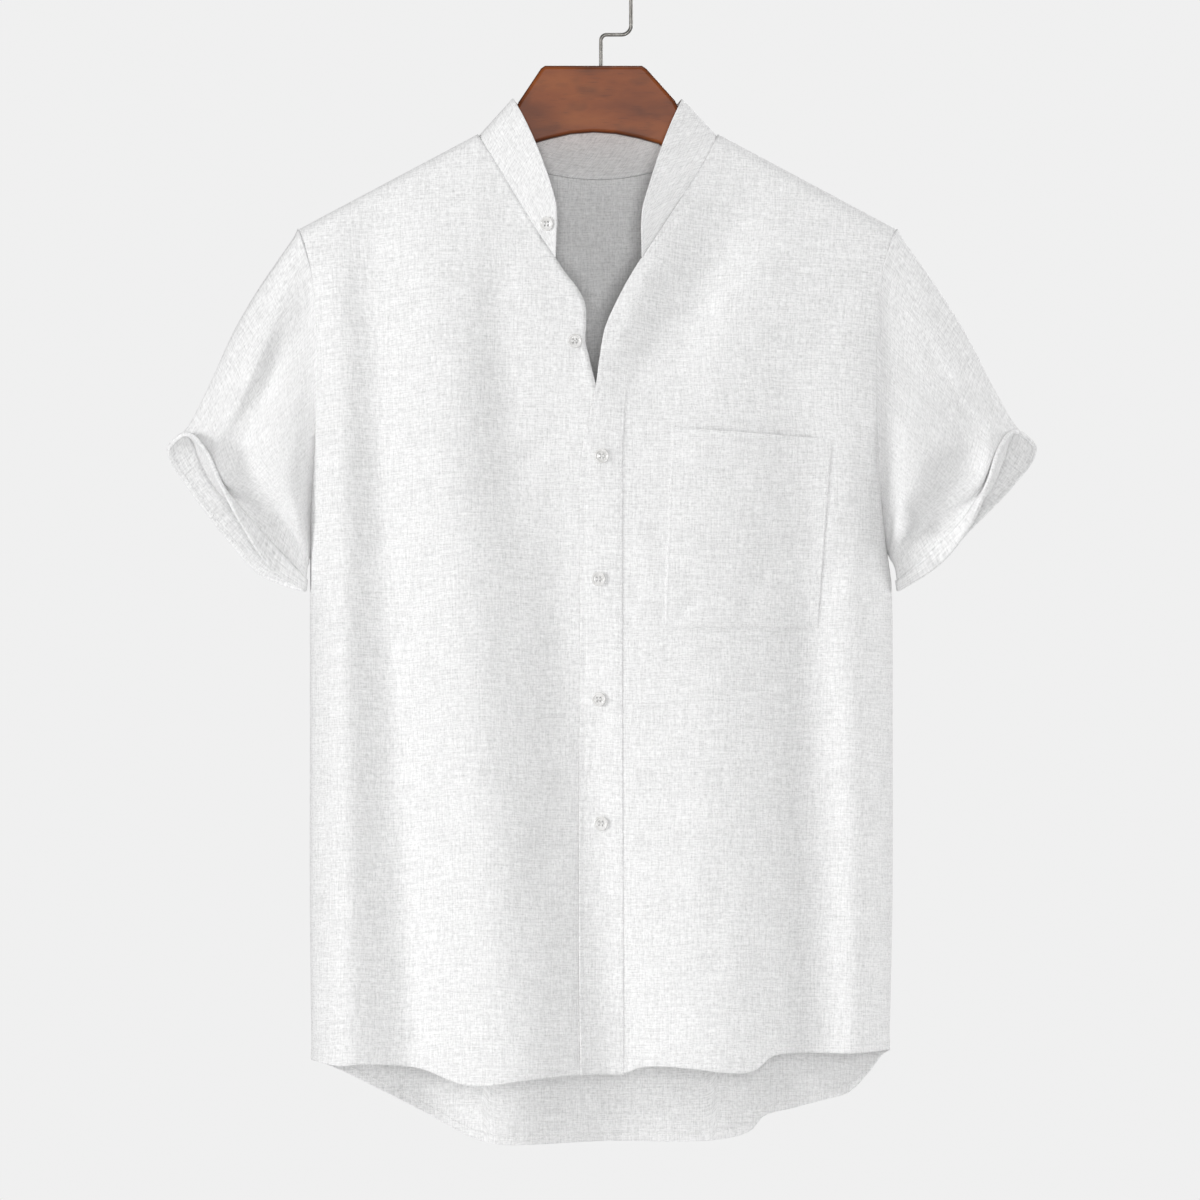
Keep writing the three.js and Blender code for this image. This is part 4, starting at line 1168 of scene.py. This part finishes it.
def button_mesh():
    half = BUTTON_THICKNESS / 2
    r = BUTTON_RADIUS
    profile = [
        (0, -half), (r - 1.2, -half), (r - 0.35, -half + 0.3), (r, -half + 0.9), (r, half - 0.6),
        (r - 0.3, half - 0.15), (r - 0.8, half), (r - 1.3, half - 0.15), (r - 1.8, half - 0.6),
        (r - 2.4, half - 0.75), (0, half - 0.75),
    ]
    disc = mesh_object("button_disc", *lathe(profile, BUTTON_SIDES))
    cutter_points, cutter_faces = [], []
    hole = [(0, -3), (BUTTON_HOLE_RADIUS, -3), (BUTTON_HOLE_RADIUS, 3), (0, 3)]
    for turn in range(4):
        angle = np.pi / 4 + turn * np.pi / 2
        points, faces = lathe(hole, BUTTON_HOLE_SIDES)
        shift = np.array([np.cos(angle), 0, np.sin(angle)]) * BUTTON_HOLE_SPREAD * np.sqrt(2)
        base = len(cutter_points)
        cutter_points.extend(np.array(points) + shift)
        cutter_faces.extend(tuple(base + i for i in face) for face in faces)
    cutter = mesh_object("button_cutter", cutter_points, cutter_faces)
    cut = disc.modifiers.new("holes", "BOOLEAN")
    cut.object = cutter
    cut.operation = "DIFFERENCE"
    cut.solver = "EXACT"
    shaped = bpy.data.meshes.new_from_object(disc.evaluated_get(bpy.context.evaluated_depsgraph_get()))
    bpy.data.objects.remove(disc)
    bpy.data.objects.remove(cutter)
    return shaped


def surface_frame(depth_y, x, z, step=3.0):
    slope_x = (depth_y(x + step, z) - depth_y(x - step, z)) / (2 * step)
    slope_z = (depth_y(x, z + step) - depth_y(x, z - step)) / (2 * step)
    normal = unit(np.array([float(slope_x), -1.0, float(slope_z)]))
    return np.array([x, float(depth_y(x, z)), z]), normal


def grid_frame(grid, normals, x, z):
    """The point and normal of the collar's right end, the first quarter of its grid, at a place."""
    front = grid[:, :grid.shape[1] // 4]
    distance = np.hypot(front[..., 0] - x, front[..., 2] - z)
    row, column = np.unravel_index(np.argmin(distance), distance.shape)
    return front[row, column], normals[row, column]


def button_frame(carrier, x, z):
    if carrier == "collar":
        return grid_frame(collar_outer, collar_normals, x, z)
    depth_y = right_front_y if carrier == "right" else front_y
    point, normal = surface_frame(depth_y, np.array(float(x)), np.array(float(z)))
    lift = LAYER_CLOTH if carrier == "placket" else 0.0
    return point + normal * lift, normal


def turned(points, normal):
    """Points about the Y axis turned so that +Y lies along a normal."""
    across = unit(np.cross(normal, (0.0, 0.0, 1.0)))
    return points @ np.array([across, normal, np.cross(across, normal)])


def buttons():
    shaped = button_mesh()
    points = np.array([vertex.co[:] for vertex in shaped.vertices]) / MM
    faces = [tuple(polygon.vertices) for polygon in shaped.polygons]
    lines = []
    for name, carrier, x, z in BUTTONS:
        point, normal = button_frame(carrier, x, z)
        centre = point + normal * (BUTTON_LIFT + BUTTON_THICKNESS / 2)
        piece = mesh_object(name + "_face", turned(points, normal) + centre, faces)
        place(piece, RESIN, name)
        for side in (-BUTTON_HOLE_SPREAD, BUTTON_HOLE_SPREAD):
            ups = (-BUTTON_HOLE_SPREAD, 0, BUTTON_HOLE_SPREAD)
            ends = np.array([(side, y, up) for y, up in zip(BUTTON_THREAD_HEIGHTS, ups)])
            lines.append((turned(ends, normal) + centre, np.tile(normal, (3, 1))))
    sew("button_threads", lines, pitch=9.0, length=2 * BUTTON_HOLE_SPREAD - 0.6, radius=0.42)


buttons()


# Hanger


def arm_top(sign):
    x = sign * np.linspace(ARM_START, ARM_END, 12)
    return np.stack([x, shoulder_z(x) - ARM_DROP], axis=1)


def arm_tip(sign):
    z = shoulder_z(np.array(sign * ARM_END)) - ARM_DROP - TIP_RADIUS
    angle = np.linspace(0.3, 2.4, 8)
    return np.stack([
        sign * (ARM_END + 0.5 * TIP_RADIUS * np.sin(angle)),
        z + TIP_RADIUS * np.cos(angle),
    ], axis=1)


def curve_object(name, points, closed, **settings):
    data = bpy.data.curves.new(name, "CURVE")
    for key, value in settings.items():
        setattr(data, key, value)
    spline = data.splines.new("POLY")
    spline.points.add(len(points) - 1)
    for target, point in zip(spline.points, points):
        target.co = (*(np.array(point[:3]) * MM), 1)
        target.radius = point[3] if len(point) > 3 else 1
    spline.use_cyclic_u = closed
    drawn = linked(name, data)
    graph = bpy.context.evaluated_depsgraph_get()
    mesh = bpy.data.meshes.new_from_object(drawn.evaluated_get(graph))
    bpy.data.objects.remove(drawn)
    mesh.shade_smooth()
    return linked(name, mesh)


def hanger_wood():
    right = np.concatenate([WOOD_UPPER_RIGHT, arm_top(-1), arm_tip(-1)])
    left = np.concatenate([WOOD_UPPER_LEFT, arm_top(1), arm_tip(1)])
    outline = np.concatenate([left[::-1], right, WOOD_LOWER])
    flat = [(x, z, 0) for x, z in outline]
    piece = curve_object(
        "hanger_wood_body", flat, True,
        dimensions="2D", fill_mode="BOTH", extrude=(WOOD_THICKNESS / 2 - WOOD_BEVEL) * MM,
        bevel_depth=WOOD_BEVEL * MM, bevel_resolution=4, offset=-WOOD_BEVEL * MM,
    )
    upright = np.array([[1, 0, 0], [0, 0, 1], [0, -1, 0]])
    points = np.array([vertex.co[:] for vertex in piece.data.vertices]) @ upright
    piece.data.vertices.foreach_set("co", points.ravel())
    piece.data.update()
    place(piece, WOOD, "hanger_wood")


def bend(centre, radius, start, end, count=10):
    angle = np.linspace(start, end, count)
    return [(centre[0] + radius * np.cos(a), 0, centre[1] + radius * np.sin(a)) for a in angle]


def hanger_hook():
    path = [(0, 0, STEM_FOOT_Z), (0, 0, STEM_MIDDLE_Z)]
    first, second = JOG_BENDS
    path += bend((first, JOG_Z - first), first, np.pi, np.pi / 2)
    path += bend((HOOK_RADIUS - second, JOG_Z + second), second, -np.pi / 2, 0)
    path += bend((0, HOOK_CENTRE_Z), HOOK_RADIUS, 0, np.pi, 60)
    tip_z = HOOK_CENTRE_Z - HOOK_TIP_LENGTH
    path.append((-HOOK_RADIUS, 0, tip_z + WIRE_RADIUS))
    for a in np.linspace(0, np.pi / 2, 7)[1:]:
        path.append((-HOOK_RADIUS, 0, tip_z + WIRE_RADIUS * (1 - np.sin(a)), max(0.02, np.cos(a))))
    piece = curve_object(
        "hanger_hook_wire", path, False,
        dimensions="3D", bevel_depth=WIRE_RADIUS * MM, bevel_resolution=6, use_fill_caps=True,
    )
    place(piece, WIRE, "hanger_hook")


hanger_wood()
hanger_hook()


# Floor, light and camera

FLOOR_HALF = 3000.0
FLOOR_Z = -1700.0


def floor():
    sides = ((-1, -1), (1, -1), (1, 1), (-1, 1))
    corners = [(x * FLOOR_HALF, y * FLOOR_HALF, FLOOR_Z) for x, y in sides]
    ground = mesh_object("floor", corners, [(0, 1, 2, 3)])
    nodes = Nodes("floor_pale")
    clouds = nodes.streaks(nodes.object_place(), (3, 3, 3))
    tone = nodes.ramp(clouds, (0.3, grey(0.78)), (0.7, grey(0.82)))
    ground.data.materials.append(nodes.surface(tone, Roughness=0.8))


def area_light(name, position, size, energy):
    """A round lamp that looks at the middle of the view; its place and size are in metres."""
    data = bpy.data.lights.new(name, "AREA")
    data.shape = "DISK"
    data.size = size
    data.energy = energy
    lamp = linked(name, data)
    lamp.location = position
    direction = Vector((0, 0, VIEW_CENTRE[1] * MM)) - lamp.location
    lamp.rotation_euler = direction.to_track_quat("-Z", "Y").to_euler()


def backdrop_light(shown=0.87, cast=0.21):
    """A pale surround that lights less than it shows."""
    world = bpy.data.worlds.new("surround")
    bpy.context.scene.world = world
    world.use_nodes = True
    tree = world.node_tree
    background = tree.nodes["Background"]
    background.inputs["Color"].default_value = (1, 1, 1, 1)
    path = tree.nodes.new("ShaderNodeLightPath")
    level = tree.nodes.new("ShaderNodeMapRange")
    level.inputs["To Min"].default_value = cast
    level.inputs["To Max"].default_value = shown
    tree.links.new(path.outputs["Is Camera Ray"], level.inputs["Value"])
    tree.links.new(level.outputs["Result"], background.inputs["Strength"])


def camera():
    data = bpy.data.cameras.new("camera")
    data.sensor_width = SENSOR
    data.lens = SENSOR * CAMERA_DISTANCE / VIEW_WIDTH
    data.clip_end = 100
    view = linked("camera", data)
    view.location = (VIEW_CENTRE[0] * MM, -CAMERA_DISTANCE * MM, VIEW_CENTRE[1] * MM)
    view.rotation_euler = (np.pi / 2, 0, 0)
    bpy.context.scene.camera = view


floor()
area_light("key", (-5.6, -2.6, -0.1), 2.4, 182)
area_light("fill", (0.2, -7.0, -0.7), 1.8, 197)
area_light("side", (5.9, 0.4, 0.5), 2.4, 120)
area_light("top", (0.8, -1.4, 4.4), 2.0, 80)
area_light("behind", (1.0, 3.8, 0.7), 2.4, 95)
backdrop_light()
camera()
bpy.context.scene.view_settings.view_transform = "Standard"
